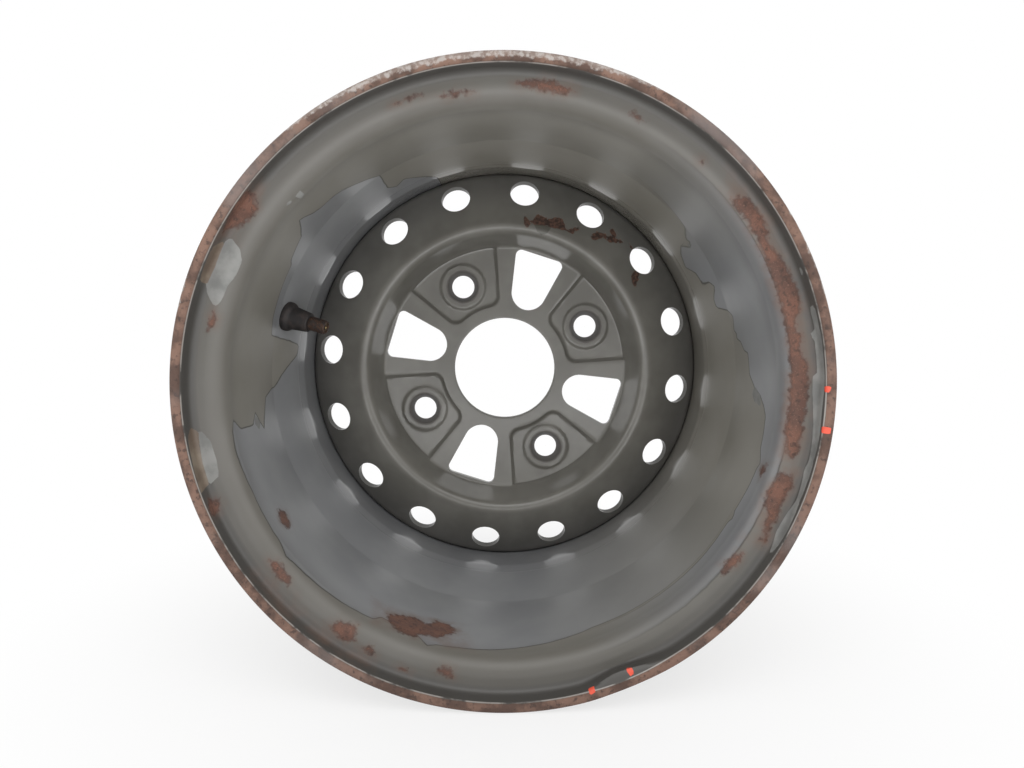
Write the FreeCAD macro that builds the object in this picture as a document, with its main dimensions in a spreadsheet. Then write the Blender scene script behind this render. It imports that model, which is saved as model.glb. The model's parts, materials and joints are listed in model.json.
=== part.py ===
import FreeCAD, Part

import math
import os
import re

import Sketcher

# Steel wheel for a quad bike: a rolled rim with a stamped centre disc welded into its well,
# and a short snap-in tyre valve whose core pin can be pressed.
# The wheel turns about Y. Its outer side faces -Y, and the origin is on the axis at the hub face.

doc = FreeCAD.newDocument("Wheel")
sheet = doc.addObject("Spreadsheet::Sheet", "Sizes")

# Driving dimensions in millimetres and degrees
SIZES = {
    # rim, rolled from one strip
    "bead_seat_diameter": 253.2,
    "rim_width": 165.1,
    "outset": 134.5,
    "rim_gauge": 2.6,
    "flange_height": 17.4,
    "lip_reach": 12.5,
    "lip_thickness": 5.0,
    "lip_round": 1.9,
    "curl_radius": 8.4,
    "seat_corner_radius": 6.5,
    "ledge_drop": 1.0,
    "ledge_length": 67.0,
    "slope_length": 37.0,
    "inner_ledge_length": 11.0,
    "inner_slope_length": 12.0,
    "well_depth": 7.6,
    "well_bend_radius": 12.0,
    # centre disc, stamped from one sheet
    "disc_gauge": 3.2,
    "bore_diameter": 60.6,
    "pad_recess": 3.0,
    "foot_radius": 73.2,
    "wall_angle": 70.0,
    "cone_angle": 28.8,
    "vent_edge_margin": 11.7,
    "vent_setback": 14.6,
    "vent_diameter": 16.8,
    "vent_count": 16,
    "crest_round": 5.0,
    "foot_round": 1.5,
    "rim_bend_round": 5.0,
    "disc_lip_length": 8.0,
    "disc_fit_gap": 0.1,
    # lug seats, pads and windows
    "bolt_circle": 110.0,
    "lug_count": 4,
    "lug_angle": 27.2,
    "lug_hole": 13.5,
    "lug_seat": 17.8,
    "lug_seat_angle": 60.0,
    "boss_diameter": 27.0,
    "boss_height": 1.4,
    "boss_draft": 1.3,
    "pad_inner_radius": 38.4,
    "pad_half_angle": 23.3,
    "pad_margin": 0.1,
    "pad_draft": 35.0,
    "window_inner_end": 37.2,
    "window_outer_end": 71.0,
    "window_inner_round": 9.9,
    "window_outer_width": 30.5,
    "window_corner": 3.6,
    # weld runs between disc and rim
    "weld_leg": 3.2,
    "weld_count": 8,
    "weld_arc": 30.0,
    # tyre valve
    "valve_angle": 164.3,
    "valve_setback": 58.9,
    "valve_hole": 11.5,
    "valve_length": 23.5,
    "rubber_base_diameter": 15.8,
    "rubber_base_height": 3.6,
    "rubber_neck_diameter": 10.2,
    "rubber_length": 14.0,
    "rubber_bulb_diameter": 18.5,
    "rubber_bulb_length": 9.5,
    "rubber_bulb_end": 13.0,
    "rubber_air_hole": 3.0,
    "rubber_groove_gap": 0.05,
    "stem_diameter": 7.7,
    "stem_core_diameter": 6.2,
    "stem_foot": 2.0,
    "stem_bore": 5.3,
    "stem_seat_bore": 4.2,
    "stem_air_bore": 2.6,
    "seat_bore_margin": 1.5,
    "core_recess": 0.6,
    "core_fit": 0.02,
    "plug_length": 4.6,
    "plug_bore": 2.2,
    "gasket_length": 1.8,
    "barrel_length": 8.5,
    "barrel_diameter": 3.6,
    "barrel_bore": 2.6,
    "barrel_end": 0.7,
    "pin_diameter": 1.1,
    "pin_proud": 0.3,
    "pin_head": 2.3,
    "pin_head_length": 1.0,
    "pin_head_drop": 0.2,
    "pin_tail": 0.3,
    "pin_travel": 1.2,
    "cup_diameter": 3.3,
    "cup_length": 1.2,
    "cup_wall": 0.35,
    "cup_drop": 0.2,
    "spring_wire": 0.3,
    "spring_diameter": 1.9,
    "spring_turns": 7,
    "running_gap": 0.05,
}
for row, (alias, value) in enumerate(SIZES.items(), start=1):
    sheet.set(f"A{row}", alias)
    sheet.set(f"B{row}", str(value))
    sheet.setAlias(f"B{row}", alias)
doc.recompute()

ALIAS = re.compile(r"\b(" + "|".join(SIZES) + r")\b")


def bound(formula):
    """The formula with each size written as a reference to its cell."""
    return ALIAS.sub(r"Sizes.\1", formula)


def value_of(formula):
    """The number that a formula of sizes gives now."""
    result = sheet.evalExpression(ALIAS.sub(r"Sizes.\1", formula))
    return float(getattr(result, "Value", result))


def tie(item, prop, formula):
    """Binds a property to a formula of sizes."""
    item.setExpression(prop, bound(formula))


def plane_of(body, role):
    return next(f for f in body.Origin.OriginFeatures if f.Role == role)


def new_body(label):
    body = doc.addObject("PartDesign::Body", label)
    body.Label = label
    return body


def outline_sketch(body, name, role, corners):
    """A closed polygon whose corners are (across, along) formulas, each bound to its cells."""
    sketch = body.newObject("Sketcher::SketchObject", name)
    sketch.AttachmentSupport = [(plane_of(body, role), "")]
    sketch.MapMode = "FlatFace"
    points = [FreeCAD.Vector(value_of(a), value_of(b), 0) for a, b in corners]
    count = len(points)
    for i in range(count):
        sketch.addGeometry(Part.LineSegment(points[i], points[(i + 1) % count]), False)
    for i in range(count):
        sketch.addConstraint(Sketcher.Constraint("Coincident", i, 2, (i + 1) % count, 1))
    for i, (across, along) in enumerate(corners):
        for kind, formula, size in (("DistanceX", across, points[i].x), ("DistanceY", along, points[i].y)):
            index = sketch.addConstraint(Sketcher.Constraint(kind, -1, 1, i, 1, size))
            tie(sketch, f"Constraints[{index}]", formula)
    return sketch


def turned(body, corners):
    """Revolves a (radius, axial) polygon about the body's Y axis."""
    sketch = outline_sketch(body, "Section", "XY_Plane", corners)
    turn = body.newObject("PartDesign::Revolution", "Turn")
    turn.Profile = sketch
    turn.ReferenceAxis = (sketch, ["V_Axis"])
    turn.Angle = 360
    doc.recompute()
    return turn


def ring_edges(shape, corners):
    """Names of the circular edges that pass through the given (radius, axial) corners."""
    names = []
    for radius, axial in ((value_of(r), value_of(y)) for r, y in corners):
        for i, edge in enumerate(shape.Edges, start=1):
            curve = edge.Curve
            if not isinstance(curve, Part.Circle):
                continue
            if abs(curve.Radius - radius) < 1e-3 and abs(curve.Center.y - axial) < 1e-3:
                names.append(f"Edge{i}")
    return names


def round_rings(body, base, name, corners, radius):
    """A fillet on the rings of a turned piece at the given corners."""
    fillet = body.newObject("PartDesign::Fillet", name)
    fillet.Base = (base, ring_edges(base.Shape, corners))
    tie(fillet, "Radius", radius)
    doc.recompute()
    return fillet


def repeat_round(body, features, count, name):
    """Copies features evenly round the wheel axis."""
    pattern = body.newObject("PartDesign::PolarPattern", name)
    pattern.Originals = features
    pattern.Axis = (plane_of(body, "Y_Axis"), [""])
    pattern.Angle = 360
    tie(pattern, "Occurrences", count)
    body.Tip = pattern
    doc.recompute()
    return pattern

# Everything is drawn from the hub face, and moved so that the origin is the wheel's centre.
CENTRE_SHIFT = "outset - rim_width / 2"


def place_on_axis(body):
    tie(body, "Placement.Base.y", CENTRE_SHIFT)


def at_angle(sketch, formula):
    """Turns a sketch about the wheel axis, counter-clockwise as seen from the outer side."""
    sketch.AttachmentOffset = FreeCAD.Placement(
        FreeCAD.Vector(), FreeCAD.Rotation(FreeCAD.Vector(0, -1, 0), value_of(formula)))
    tie(sketch, "AttachmentOffset.Rotation.Angle", formula)


def axis_line(sketch, start, end):
    """Adds a construction line between two (across, along) formulas as an axis to turn about."""
    points = [FreeCAD.Vector(value_of(a), value_of(b), 0) for a, b in (start, end)]
    line = sketch.addGeometry(Part.LineSegment(points[0], points[1]), True)
    for spot, (across, along), point in ((1, start, points[0]), (2, end, points[1])):
        for kind, formula, size in (("DistanceX", across, point.x), ("DistanceY", along, point.y)):
            index = sketch.addConstraint(Sketcher.Constraint(kind, -1, 1, line, spot, size))
            tie(sketch, f"Constraints[{index}]", formula)


def turned_feature(body, kind, name, corners, angle, axis=None, sweep=None):
    """A turned boss or cut at an angle round the wheel, about the wheel axis or an axis of its own."""
    sketch = outline_sketch(body, name + "Section", "XY_Plane", corners)
    at_angle(sketch, angle)
    if axis:
        axis_line(sketch, *axis)
    doc.recompute()
    feature = body.newObject("PartDesign::" + kind, name)
    feature.Profile = sketch
    feature.ReferenceAxis = (sketch, ["Axis0" if axis else "V_Axis"])
    feature.Angle = 360
    if sweep:
        feature.Midplane = True
        tie(feature, "Angle", sweep)
    body.Tip = feature
    doc.recompute()
    return feature


# Rim: outer skin from the outer lip to the inner lip, then back along the inner skin
LIP = "(bead_seat_diameter / 2 + flange_height)"
SEAT = "(bead_seat_diameter / 2)"
OUT = "(-outset)"
INN = "(rim_width - outset)"
LEDGE = f"({SEAT} - ledge_drop)"
WELL_INSIDE = f"({LEDGE} - rim_gauge - well_depth)"
WELL = f"({LEDGE} - well_depth)"
LEDGE_END = f"({OUT} + ledge_length)"
SLOPE_END = f"({LEDGE_END} + slope_length)"
INNER_LEDGE_END = f"({INN} - inner_ledge_length)"
INNER_SLOPE_END = f"({INNER_LEDGE_END} - inner_slope_length)"
OUTER_TIP = f"({OUT} - lip_reach)"
INNER_TIP = f"({INN} + lip_reach)"
OUT_WALL = f"({OUT} - rim_gauge)"
INN_WALL = f"({INN} + rim_gauge)"
LIP_INSIDE = f"({LIP} - lip_thickness)"
outer_skin = [
    (LIP, OUTER_TIP), (LIP, OUT), (SEAT, OUT), (LEDGE, LEDGE_END), (WELL, SLOPE_END),
    (WELL, INNER_SLOPE_END), (LEDGE, INNER_LEDGE_END), (SEAT, INN), (LIP, INN), (LIP, INNER_TIP),
]
inner_skin = [
    (LIP_INSIDE, INNER_TIP), (LIP_INSIDE, INN_WALL), (f"({SEAT} - rim_gauge)", INN_WALL),
    (f"({LEDGE} - rim_gauge)", INNER_LEDGE_END), (WELL_INSIDE, INNER_SLOPE_END),
    (WELL_INSIDE, SLOPE_END), (f"({LEDGE} - rim_gauge)", LEDGE_END),
    (f"({SEAT} - rim_gauge)", OUT_WALL), (LIP_INSIDE, OUT_WALL), (LIP_INSIDE, OUTER_TIP),
]
rim = new_body("rim")
step = turned(rim, outer_skin + inner_skin)
step = round_rings(rim, step, "SeatCorners", [outer_skin[2], outer_skin[7]], "seat_corner_radius")
step = round_rings(rim, step, "SeatBends", [inner_skin[2], inner_skin[7]], "seat_corner_radius + rim_gauge")
step = round_rings(rim, step, "Curls", [outer_skin[1], outer_skin[8]], "curl_radius")
step = round_rings(rim, step, "CurlBends", [inner_skin[1], inner_skin[8]], "curl_radius - lip_thickness")
step = round_rings(rim, step, "WellBends", outer_skin[3:7] + inner_skin[3:7], "well_bend_radius")
lip_tips = [outer_skin[0], outer_skin[9], inner_skin[0], inner_skin[9]]
step = round_rings(rim, step, "LipRounds", lip_tips, "lip_round")

# The valve stands square to the slope of the well. Its own frame has +Y towards the tip.
VALVE_RADIUS = f"({WELL_INSIDE} + well_depth * (valve_setback + {SLOPE_END}) / slope_length)"
VALVE_TILT = "atan(well_depth / slope_length)"


def valve_frame(shift):
    """Placement of the valve's own frame, with the wheel moved along its axis by shift."""
    angle = FreeCAD.Rotation(FreeCAD.Vector(0, -1, 0), value_of("valve_angle"))
    tilt = FreeCAD.Rotation(FreeCAD.Vector(0, 0, 1), 90 + value_of(VALVE_TILT))
    foot = angle.multVec(FreeCAD.Vector(value_of(VALVE_RADIUS), value_of("-valve_setback"), 0))
    return FreeCAD.Placement(foot + FreeCAD.Vector(0, shift, 0), angle.multiply(tilt))


hole = rim.newObject("PartDesign::SubtractiveCylinder", "ValveHole")
tie(hole, "Radius", "valve_hole / 2")
tie(hole, "Height", "rim_gauge * 6")
along_hole = FreeCAD.Placement(FreeCAD.Vector(0, -value_of("rim_gauge") * 3, 0),
                               FreeCAD.Rotation(FreeCAD.Vector(1, 0, 0), -90))
hole.Placement = valve_frame(0).multiply(along_hole)
rim.Tip = hole
place_on_axis(rim)
doc.recompute()

# Disc: front skin from the bore to the lip, then back along the hub side
BASE_FRONT = "(-disc_gauge - pad_recess)"
BASE_BACK = "(-pad_recess)"
BORE = "(bore_diameter / 2)"
WALL_RISE = "tan(wall_angle)"
CONE_FALL = "tan(cone_angle)"
EDGE_R = f"({WELL_INSIDE} - disc_fit_gap)"
VENT_R = f"({EDGE_R} - vent_edge_margin)"
CREST_SUM = f"({BASE_FRONT} + foot_radius * {WALL_RISE} + vent_setback + {VENT_R} * {CONE_FALL})"
CREST_R = f"({CREST_SUM} / ({WALL_RISE} + {CONE_FALL}))"
CREST_Y = f"({BASE_FRONT} - ({CREST_R} - foot_radius) * {WALL_RISE})"
EDGE_Y = f"(-vent_setback + vent_edge_margin * {CONE_FALL})"
LIP_END = f"({EDGE_Y} + disc_lip_length)"


def back_of(corner, first, second):
    """The sheet's back corner behind a front corner, between runs at two direction angles."""
    middle = f"(({first} + {second}) / 2)"
    reach = f"disc_gauge / cos(({second} - {first}) / 2)"
    return (f"({corner[0]} - {reach} * sin({middle}))", f"({corner[1]} + {reach} * cos({middle}))")


bore_front = (BORE, BASE_FRONT)
foot_front = ("foot_radius", BASE_FRONT)
crest_front = (CREST_R, CREST_Y)
edge_front = (EDGE_R, EDGE_Y)
edge_back = back_of(edge_front, "cone_angle", "90")
crest_back = back_of(crest_front, "(-wall_angle)", "cone_angle")
foot_back = back_of(foot_front, "0", "(-wall_angle)")
disc = new_body("disc")
step = turned(disc, [
    bore_front, foot_front, crest_front, edge_front, (EDGE_R, LIP_END),
    (f"({EDGE_R} - disc_gauge)", LIP_END), edge_back, crest_back, foot_back, (BORE, BASE_BACK),
])
step = round_rings(disc, step, "CrestFront", [crest_front], "crest_round")
step = round_rings(disc, step, "CrestBack", [crest_back], "crest_round - disc_gauge")
step = round_rings(disc, step, "FootFront", [foot_front], "foot_round")
step = round_rings(disc, step, "FootBack", [foot_back], "foot_round + disc_gauge")
step = round_rings(disc, step, "EdgeFront", [edge_front], "rim_bend_round")
step = round_rings(disc, step, "EdgeBack", [edge_back], "rim_bend_round - disc_gauge")

# Four recessed pads that meet the hub: sunk from the front and pushed out at the back
LUG_ANGLE = "(90 + lug_angle)"
WINDOW_ANGLE = f"({LUG_ANGLE} - 180 / lug_count)"
PAD_OUTER = "(foot_radius - foot_round * tan(wall_angle / 2) - pad_margin)"
PAD_DRAFT = "(pad_recess * tan(pad_draft))"


def pad_section(top):
    return [
        ("pad_inner_radius", top), (PAD_OUTER, top),
        (f"({PAD_OUTER} - {PAD_DRAFT})", f"({top} + pad_recess)"),
        (f"(pad_inner_radius + {PAD_DRAFT})", f"({top} + pad_recess)"),
    ]


sunk = turned_feature(disc, "Groove", "PadFront", pad_section(BASE_FRONT), LUG_ANGLE, sweep="2 * pad_half_angle")
pushed = turned_feature(disc, "Revolution", "PadBack", pad_section(BASE_BACK), LUG_ANGLE, sweep="2 * pad_half_angle")
repeat_round(disc, [sunk, pushed], "lug_count", "Pads")

# Lug bosses with conical nut seats
LUG_R = "(bolt_circle / 2)"
PAD_FACE = "(-disc_gauge)"
BOSS_TOP = f"({PAD_FACE} - boss_height)"
SEAT_DEPTH = "((lug_seat - lug_hole) / 2 / tan(lug_seat_angle / 2))"
lug_axis = ((LUG_R, f"({BOSS_TOP} - 5)"), (LUG_R, "5"))
boss = turned_feature(disc, "Revolution", "Boss", [
    (LUG_R, BOSS_TOP), (f"({LUG_R} + boss_diameter / 2 - boss_draft)", BOSS_TOP),
    (f"({LUG_R} + boss_diameter / 2)", PAD_FACE), (f"({LUG_R} + boss_diameter / 2)", f"({PAD_FACE} / 2)"),
    (LUG_R, f"({PAD_FACE} / 2)"),
], LUG_ANGLE, axis=lug_axis)
lug = turned_feature(disc, "Groove", "LugHole", [
    (LUG_R, f"({BOSS_TOP} - 1)"), (f"({LUG_R} + lug_seat / 2 + tan(lug_seat_angle / 2))", f"({BOSS_TOP} - 1)"),
    (f"({LUG_R} + lug_hole / 2)", f"({BOSS_TOP} + {SEAT_DEPTH})"), (f"({LUG_R} + lug_hole / 2)", "2"),
    (LUG_R, "2"),
], LUG_ANGLE, axis=lug_axis)
repeat_round(disc, [boss, lug], "lug_count", "Lugs")

# Vents square to the cone
VENT_TURN = f"({LUG_ANGLE} - 180 / vent_count)"


def on_cone(across, out):
    """A point at a distance across the vent and a distance out from the cone's face."""
    return (f"({VENT_R} + ({across}) * cos(cone_angle) + ({out}) * sin(cone_angle))",
            f"(-vent_setback + ({across}) * sin(cone_angle) - ({out}) * cos(cone_angle))")


vent = turned_feature(disc, "Groove", "Vent", [
    on_cone("0", "disc_gauge"), on_cone("vent_diameter / 2", "disc_gauge"),
    on_cone("vent_diameter / 2", "-2 * disc_gauge"), on_cone("0", "-2 * disc_gauge"),
], VENT_TURN, axis=(on_cone("0", "disc_gauge"), on_cone("0", "-2 * disc_gauge")))
repeat_round(disc, [vent], "vent_count", "Vents")

# Four windows between the lugs, round at the inner end
window = disc.newObject("Sketcher::SketchObject", "WindowOutline")
window.AttachmentSupport = [(plane_of(disc, "XZ_Plane"), "")]
window.MapMode = "FlatFace"
window.AttachmentOffset = FreeCAD.Placement(
    FreeCAD.Vector(), FreeCAD.Rotation(FreeCAD.Vector(0, 0, 1), value_of(f"{WINDOW_ANGLE} - 90")))
tie(window, "AttachmentOffset.Rotation.Angle", f"{WINDOW_ANGLE} - 90")
corner = value_of("window_corner")
inner = value_of("window_inner_round")
top = value_of("window_outer_end")
corner_at = FreeCAD.Vector(value_of("window_outer_width / 2") - corner, top - corner, 0)
inner_at = FreeCAD.Vector(0, value_of("window_inner_end") + inner, 0)
# direction square to the right-hand side, which touches both rounds
lean = corner_at - inner_at
facing = math.atan2(lean.y, lean.x) - math.acos((inner - corner) / lean.Length)
square = FreeCAD.Vector(math.cos(facing), math.sin(facing), 0)
upper = corner_at + square * corner
lower = inner_at + square * inner


def mirrored(point):
    return FreeCAD.Vector(-point.x, point.y, 0)


def round_at(centre, radius, start, end):
    circle = Part.Circle(centre, FreeCAD.Vector(0, 0, 1), radius)
    return Part.ArcOfCircle(circle, start, end)


window.addGeometry([
    Part.LineSegment(FreeCAD.Vector(corner_at.x, top, 0), FreeCAD.Vector(-corner_at.x, top, 0)),
    round_at(mirrored(corner_at), corner, math.pi / 2, math.pi - facing),
    Part.LineSegment(mirrored(upper), mirrored(lower)),
    round_at(inner_at, inner, math.pi - facing, 2 * math.pi + facing),
    Part.LineSegment(lower, upper),
    round_at(corner_at, corner, facing, math.pi / 2),
], False)
for first in range(6):
    window.addConstraint(Sketcher.Constraint("Tangent", first, 2, (first + 1) % 6, 1))
for kind, geo, spot, formula in (
    ("DistanceX", 1, 3, "window_corner - window_outer_width / 2"),
    ("DistanceX", 5, 3, "window_outer_width / 2 - window_corner"),
    ("DistanceY", 1, 3, "window_outer_end - window_corner"),
    ("DistanceY", 3, 3, "window_inner_end + window_inner_round"),
):
    index = window.addConstraint(Sketcher.Constraint(kind, -1, 1, geo, spot, value_of(formula)))
    tie(window, f"Constraints[{index}]", formula)
window.addConstraint(Sketcher.Constraint("PointOnObject", 3, 3, -2))
for geo, formula in ((1, "window_corner"), (3, "window_inner_round"), (5, "window_corner")):
    index = window.addConstraint(Sketcher.Constraint("Radius", geo, value_of(formula)))
    tie(window, f"Constraints[{index}]", formula)
doc.recompute()
cut = disc.newObject("PartDesign::Pocket", "Window")
cut.Profile = window
cut.Type = "ThroughAll"
cut.Midplane = True
doc.recompute()
repeat_round(disc, [cut], "lug_count", "Windows")
place_on_axis(disc)
doc.recompute()

# Weld runs in the corner between the disc's edge and the rim's well
weld = new_body("disc_weld")
weld.AllowCompound = True
run = turned_feature(weld, "Revolution", "Run", [
    (WELL_INSIDE, LIP_END), (WELL_INSIDE, f"({LIP_END} + weld_leg)"), (f"({WELL_INSIDE} - weld_leg)", LIP_END),
], LUG_ANGLE, sweep="weld_arc")
repeat_round(weld, [run], "weld_count", "Runs")
place_on_axis(weld)

# Tyre valve, each piece turned about the valve's own axis
TIP = "valve_length"
PLUG_TOP = f"({TIP} - core_recess)"
PLUG_END = f"({PLUG_TOP} - plug_length)"
SHOULDER = f"({PLUG_END} - gasket_length)"
BARREL_END = f"({PLUG_END} - barrel_length)"
CUP_TOP = f"({BARREL_END} - cup_drop)"
CUP_END = f"({CUP_TOP} - cup_length)"
SEAT_BORE_END = f"({CUP_END} - pin_tail - pin_travel - seat_bore_margin)"
STEM_FOOT = "(-stem_foot)"
HEAD_TOP = f"({PLUG_END} - pin_head_drop)"
HEAD_END = f"({HEAD_TOP} - pin_head_length)"
BULB_TOP = "(-rim_gauge - rubber_groove_gap)"
BULB_END = f"({BULB_TOP} - rubber_bulb_length)"
STEM_R = "(stem_diameter / 2)"
SHANK_R = "(stem_core_diameter / 2)"
GROOVE_R = "(valve_hole / 2 - rubber_groove_gap)"
PIN_R = "(pin_diameter / 2)"
VALVE_PIECES = {
    "valve_rubber": [
        ("rubber_air_hole / 2", BULB_END), ("rubber_bulb_end / 2", BULB_END),
        ("rubber_bulb_diameter / 2", f"({BULB_TOP} - rubber_bulb_length / 4)"),
        ("rubber_bulb_diameter / 2", BULB_TOP), (GROOVE_R, BULB_TOP), (GROOVE_R, "rubber_groove_gap"),
        ("rubber_base_diameter / 2", "rubber_groove_gap"), ("rubber_base_diameter / 2", "rubber_base_height / 2"),
        ("rubber_neck_diameter / 2 + 1", "rubber_base_height"), ("rubber_neck_diameter / 2", "rubber_length"),
        (SHANK_R, "rubber_length"), (SHANK_R, STEM_FOOT), ("rubber_air_hole / 2", STEM_FOOT),
    ],
    "valve_stem": [
        ("stem_air_bore / 2", STEM_FOOT), (SHANK_R, STEM_FOOT), (SHANK_R, "rubber_length"),
        (STEM_R, "rubber_length"), (STEM_R, TIP), ("stem_bore / 2", TIP), ("stem_bore / 2", SHOULDER),
        ("stem_seat_bore / 2", SHOULDER), ("stem_seat_bore / 2", SEAT_BORE_END),
        ("stem_air_bore / 2", SEAT_BORE_END),
    ],
    "core_plug": [
        ("plug_bore / 2", PLUG_END), ("stem_bore / 2 - core_fit", PLUG_END),
        ("stem_bore / 2 - core_fit", PLUG_TOP), ("plug_bore / 2", PLUG_TOP),
    ],
    "core_gasket": [
        ("barrel_diameter / 2 + core_fit", SHOULDER), ("stem_bore / 2 - core_fit", SHOULDER),
        ("stem_bore / 2 - core_fit", PLUG_END), ("barrel_diameter / 2 + core_fit", PLUG_END),
    ],
    "core_barrel": [
        (f"{PIN_R} + running_gap", BARREL_END), ("barrel_diameter / 2", BARREL_END),
        ("barrel_diameter / 2", PLUG_END), ("barrel_bore / 2", PLUG_END),
        ("barrel_bore / 2", f"({BARREL_END} + barrel_end)"), (f"{PIN_R} + running_gap", f"({BARREL_END} + barrel_end)"),
    ],
    "core_pin": [
        ("0", f"({CUP_END} - pin_tail)"), (PIN_R, f"({CUP_END} - pin_tail)"), (PIN_R, HEAD_END),
        ("pin_head / 2", HEAD_END), ("pin_head / 2", HEAD_TOP), (PIN_R, HEAD_TOP),
        (PIN_R, f"({PLUG_TOP} + pin_proud)"), ("0", f"({PLUG_TOP} + pin_proud)"),
    ],
    "pin_cup": [
        (PIN_R, CUP_END), ("cup_diameter / 2", CUP_END), ("cup_diameter / 2", CUP_TOP),
        ("cup_diameter / 2 - cup_wall", CUP_TOP), ("cup_diameter / 2 - cup_wall", f"({CUP_END} + cup_wall)"),
        (PIN_R, f"({CUP_END} + cup_wall)"),
    ],
    "pin_seal": [
        (PIN_R, f"({CUP_END} + cup_wall)"), ("cup_diameter / 2 - cup_wall", f"({CUP_END} + cup_wall)"),
        ("cup_diameter / 2 - cup_wall", f"({BARREL_END} - core_fit)"), (PIN_R, f"({BARREL_END} - core_fit)"),
    ],
}
in_wheel = valve_frame(value_of(CENTRE_SHIFT))
subparts = [rim, disc, weld]
for label, section in VALVE_PIECES.items():
    piece = new_body(label)
    turned(piece, section)
    piece.Placement = in_wheel
    subparts.append(piece)

# Core spring between the barrel's end wall and the pin's collar
SPRING_FOOT = f"({BARREL_END} + barrel_end + spring_wire / 2 + core_fit)"
SPRING_HEIGHT = f"({HEAD_END} - {SPRING_FOOT} - spring_wire / 2 - core_fit)"
coil = doc.addObject("Part::Helix", "SpringPath")
tie(coil, "Radius", "spring_diameter / 2")
tie(coil, "Height", SPRING_HEIGHT)
tie(coil, "Pitch", f"{SPRING_HEIGHT} / spring_turns")
wire = doc.addObject("Part::Circle", "SpringWire")
tie(wire, "Radius", "spring_wire / 2")
tie(wire, "Placement.Base.x", "spring_diameter / 2")
wire.Placement.Rotation = FreeCAD.Rotation(FreeCAD.Vector(1, 0, 0), 90)
doc.recompute()
spring = doc.addObject("Part::Sweep", "core_spring")
spring.Label = "core_spring"
spring.Sections = [wire]
spring.Spine = (coil, ["Edge" + str(i + 1) for i in range(len(coil.Shape.Edges))])
spring.Solid = True
spring.Frenet = True
stand_up = FreeCAD.Placement(FreeCAD.Vector(0, value_of(SPRING_FOOT), 0),
                             FreeCAD.Rotation(FreeCAD.Vector(1, 0, 0), -90))
spring.Placement = in_wheel.multiply(stand_up)
subparts.append(spring)
doc.recompute()

for item in doc.Objects:
    if "Invalid" in item.State or "Error" in item.State:
        raise RuntimeError(f"{item.Label}: {item.State}")

os.makedirs("parts", exist_ok=True)
for piece in subparts:
    shape = piece.Shape
    if shape.isNull() or not shape.isValid():
        raise RuntimeError(f"{piece.Label} has no valid shape")
    shape.exportStep(f"parts/{piece.Label}.step")
    box = shape.BoundBox
    print(f"{piece.Label:13s} solids {len(shape.Solids)}  volume {shape.Volume:10.2f}  "
          f"x {box.XMin:8.2f} {box.XMax:8.2f}  y {box.YMin:8.2f} {box.YMax:8.2f}  z {box.ZMin:8.2f} {box.ZMax:8.2f}")
print("valve foot", in_wheel.Base, "tip axis", in_wheel.Rotation.multVec(FreeCAD.Vector(0, 1, 0)))
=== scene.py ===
# %% [markdown]
# # A worn quad bike wheel
# A bare steel wheel stands upright on a white table and shows its deep outer side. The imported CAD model
# gives every size and place. This script dresses it: pressed sheet with soft bends, two layers of
# paint that peel, rust where tyres scraped the lip, and a dirty rubber tyre valve.

import json
import math

import bmesh
import bpy
import numpy as np
from mathutils import Matrix, Vector


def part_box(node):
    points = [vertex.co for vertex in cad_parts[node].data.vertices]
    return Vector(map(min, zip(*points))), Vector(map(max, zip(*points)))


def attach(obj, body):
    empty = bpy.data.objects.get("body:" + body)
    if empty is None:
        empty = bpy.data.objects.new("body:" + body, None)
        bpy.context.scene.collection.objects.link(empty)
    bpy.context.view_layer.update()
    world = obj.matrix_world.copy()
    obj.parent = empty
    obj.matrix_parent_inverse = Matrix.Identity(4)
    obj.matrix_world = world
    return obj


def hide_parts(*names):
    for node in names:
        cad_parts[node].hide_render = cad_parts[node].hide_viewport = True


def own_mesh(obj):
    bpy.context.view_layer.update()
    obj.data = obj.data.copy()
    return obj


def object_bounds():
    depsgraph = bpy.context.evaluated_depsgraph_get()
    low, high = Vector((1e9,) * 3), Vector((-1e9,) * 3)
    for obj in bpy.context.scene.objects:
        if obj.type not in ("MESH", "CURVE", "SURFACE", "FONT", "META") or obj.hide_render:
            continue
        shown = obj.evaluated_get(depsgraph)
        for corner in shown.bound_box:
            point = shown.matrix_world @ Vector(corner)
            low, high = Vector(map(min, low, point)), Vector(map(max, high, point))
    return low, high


MM = 0.001
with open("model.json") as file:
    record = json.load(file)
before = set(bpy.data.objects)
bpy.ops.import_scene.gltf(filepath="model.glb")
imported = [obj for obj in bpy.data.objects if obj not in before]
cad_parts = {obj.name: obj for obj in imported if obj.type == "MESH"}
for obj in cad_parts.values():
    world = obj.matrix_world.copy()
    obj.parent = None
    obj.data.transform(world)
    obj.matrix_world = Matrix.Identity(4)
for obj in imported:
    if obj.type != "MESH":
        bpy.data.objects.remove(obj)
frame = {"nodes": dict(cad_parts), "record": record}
cad_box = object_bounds()
print("nodes", sorted(frame["nodes"]))

# %% [markdown]
# ## Sections that turn into sheet metal
# Both halves of the wheel were rolled or stamped, so each is one cross-section turned about the axle.
# A section starts as a few corner vertices joined by edges. A vertex bevel rounds each corner to its
# bend radius, and long edges are cut so that later bends and marks have vertices to act on.

# %% Draw a rounded section
BEND_STEP = 1.3
LEAST_SEGMENTS = 3
ROUND_PROFILE = 0.5


def round_corner(bm, point, bend, segments=None):
    """Bevels one corner to a bend radius in millimetres."""
    one, two = (edge.other_vert(point).co - point.co for edge in point.link_edges)
    turn = math.pi - one.angle(two)
    segments = segments or max(LEAST_SEGMENTS, round(bend * turn / BEND_STEP))
    bmesh.ops.bevel(bm, geom=[point], affect="VERTICES", offset=bend * MM * math.tan(turn / 2),
                    segments=segments, profile=ROUND_PROFILE, material=-1)


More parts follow.
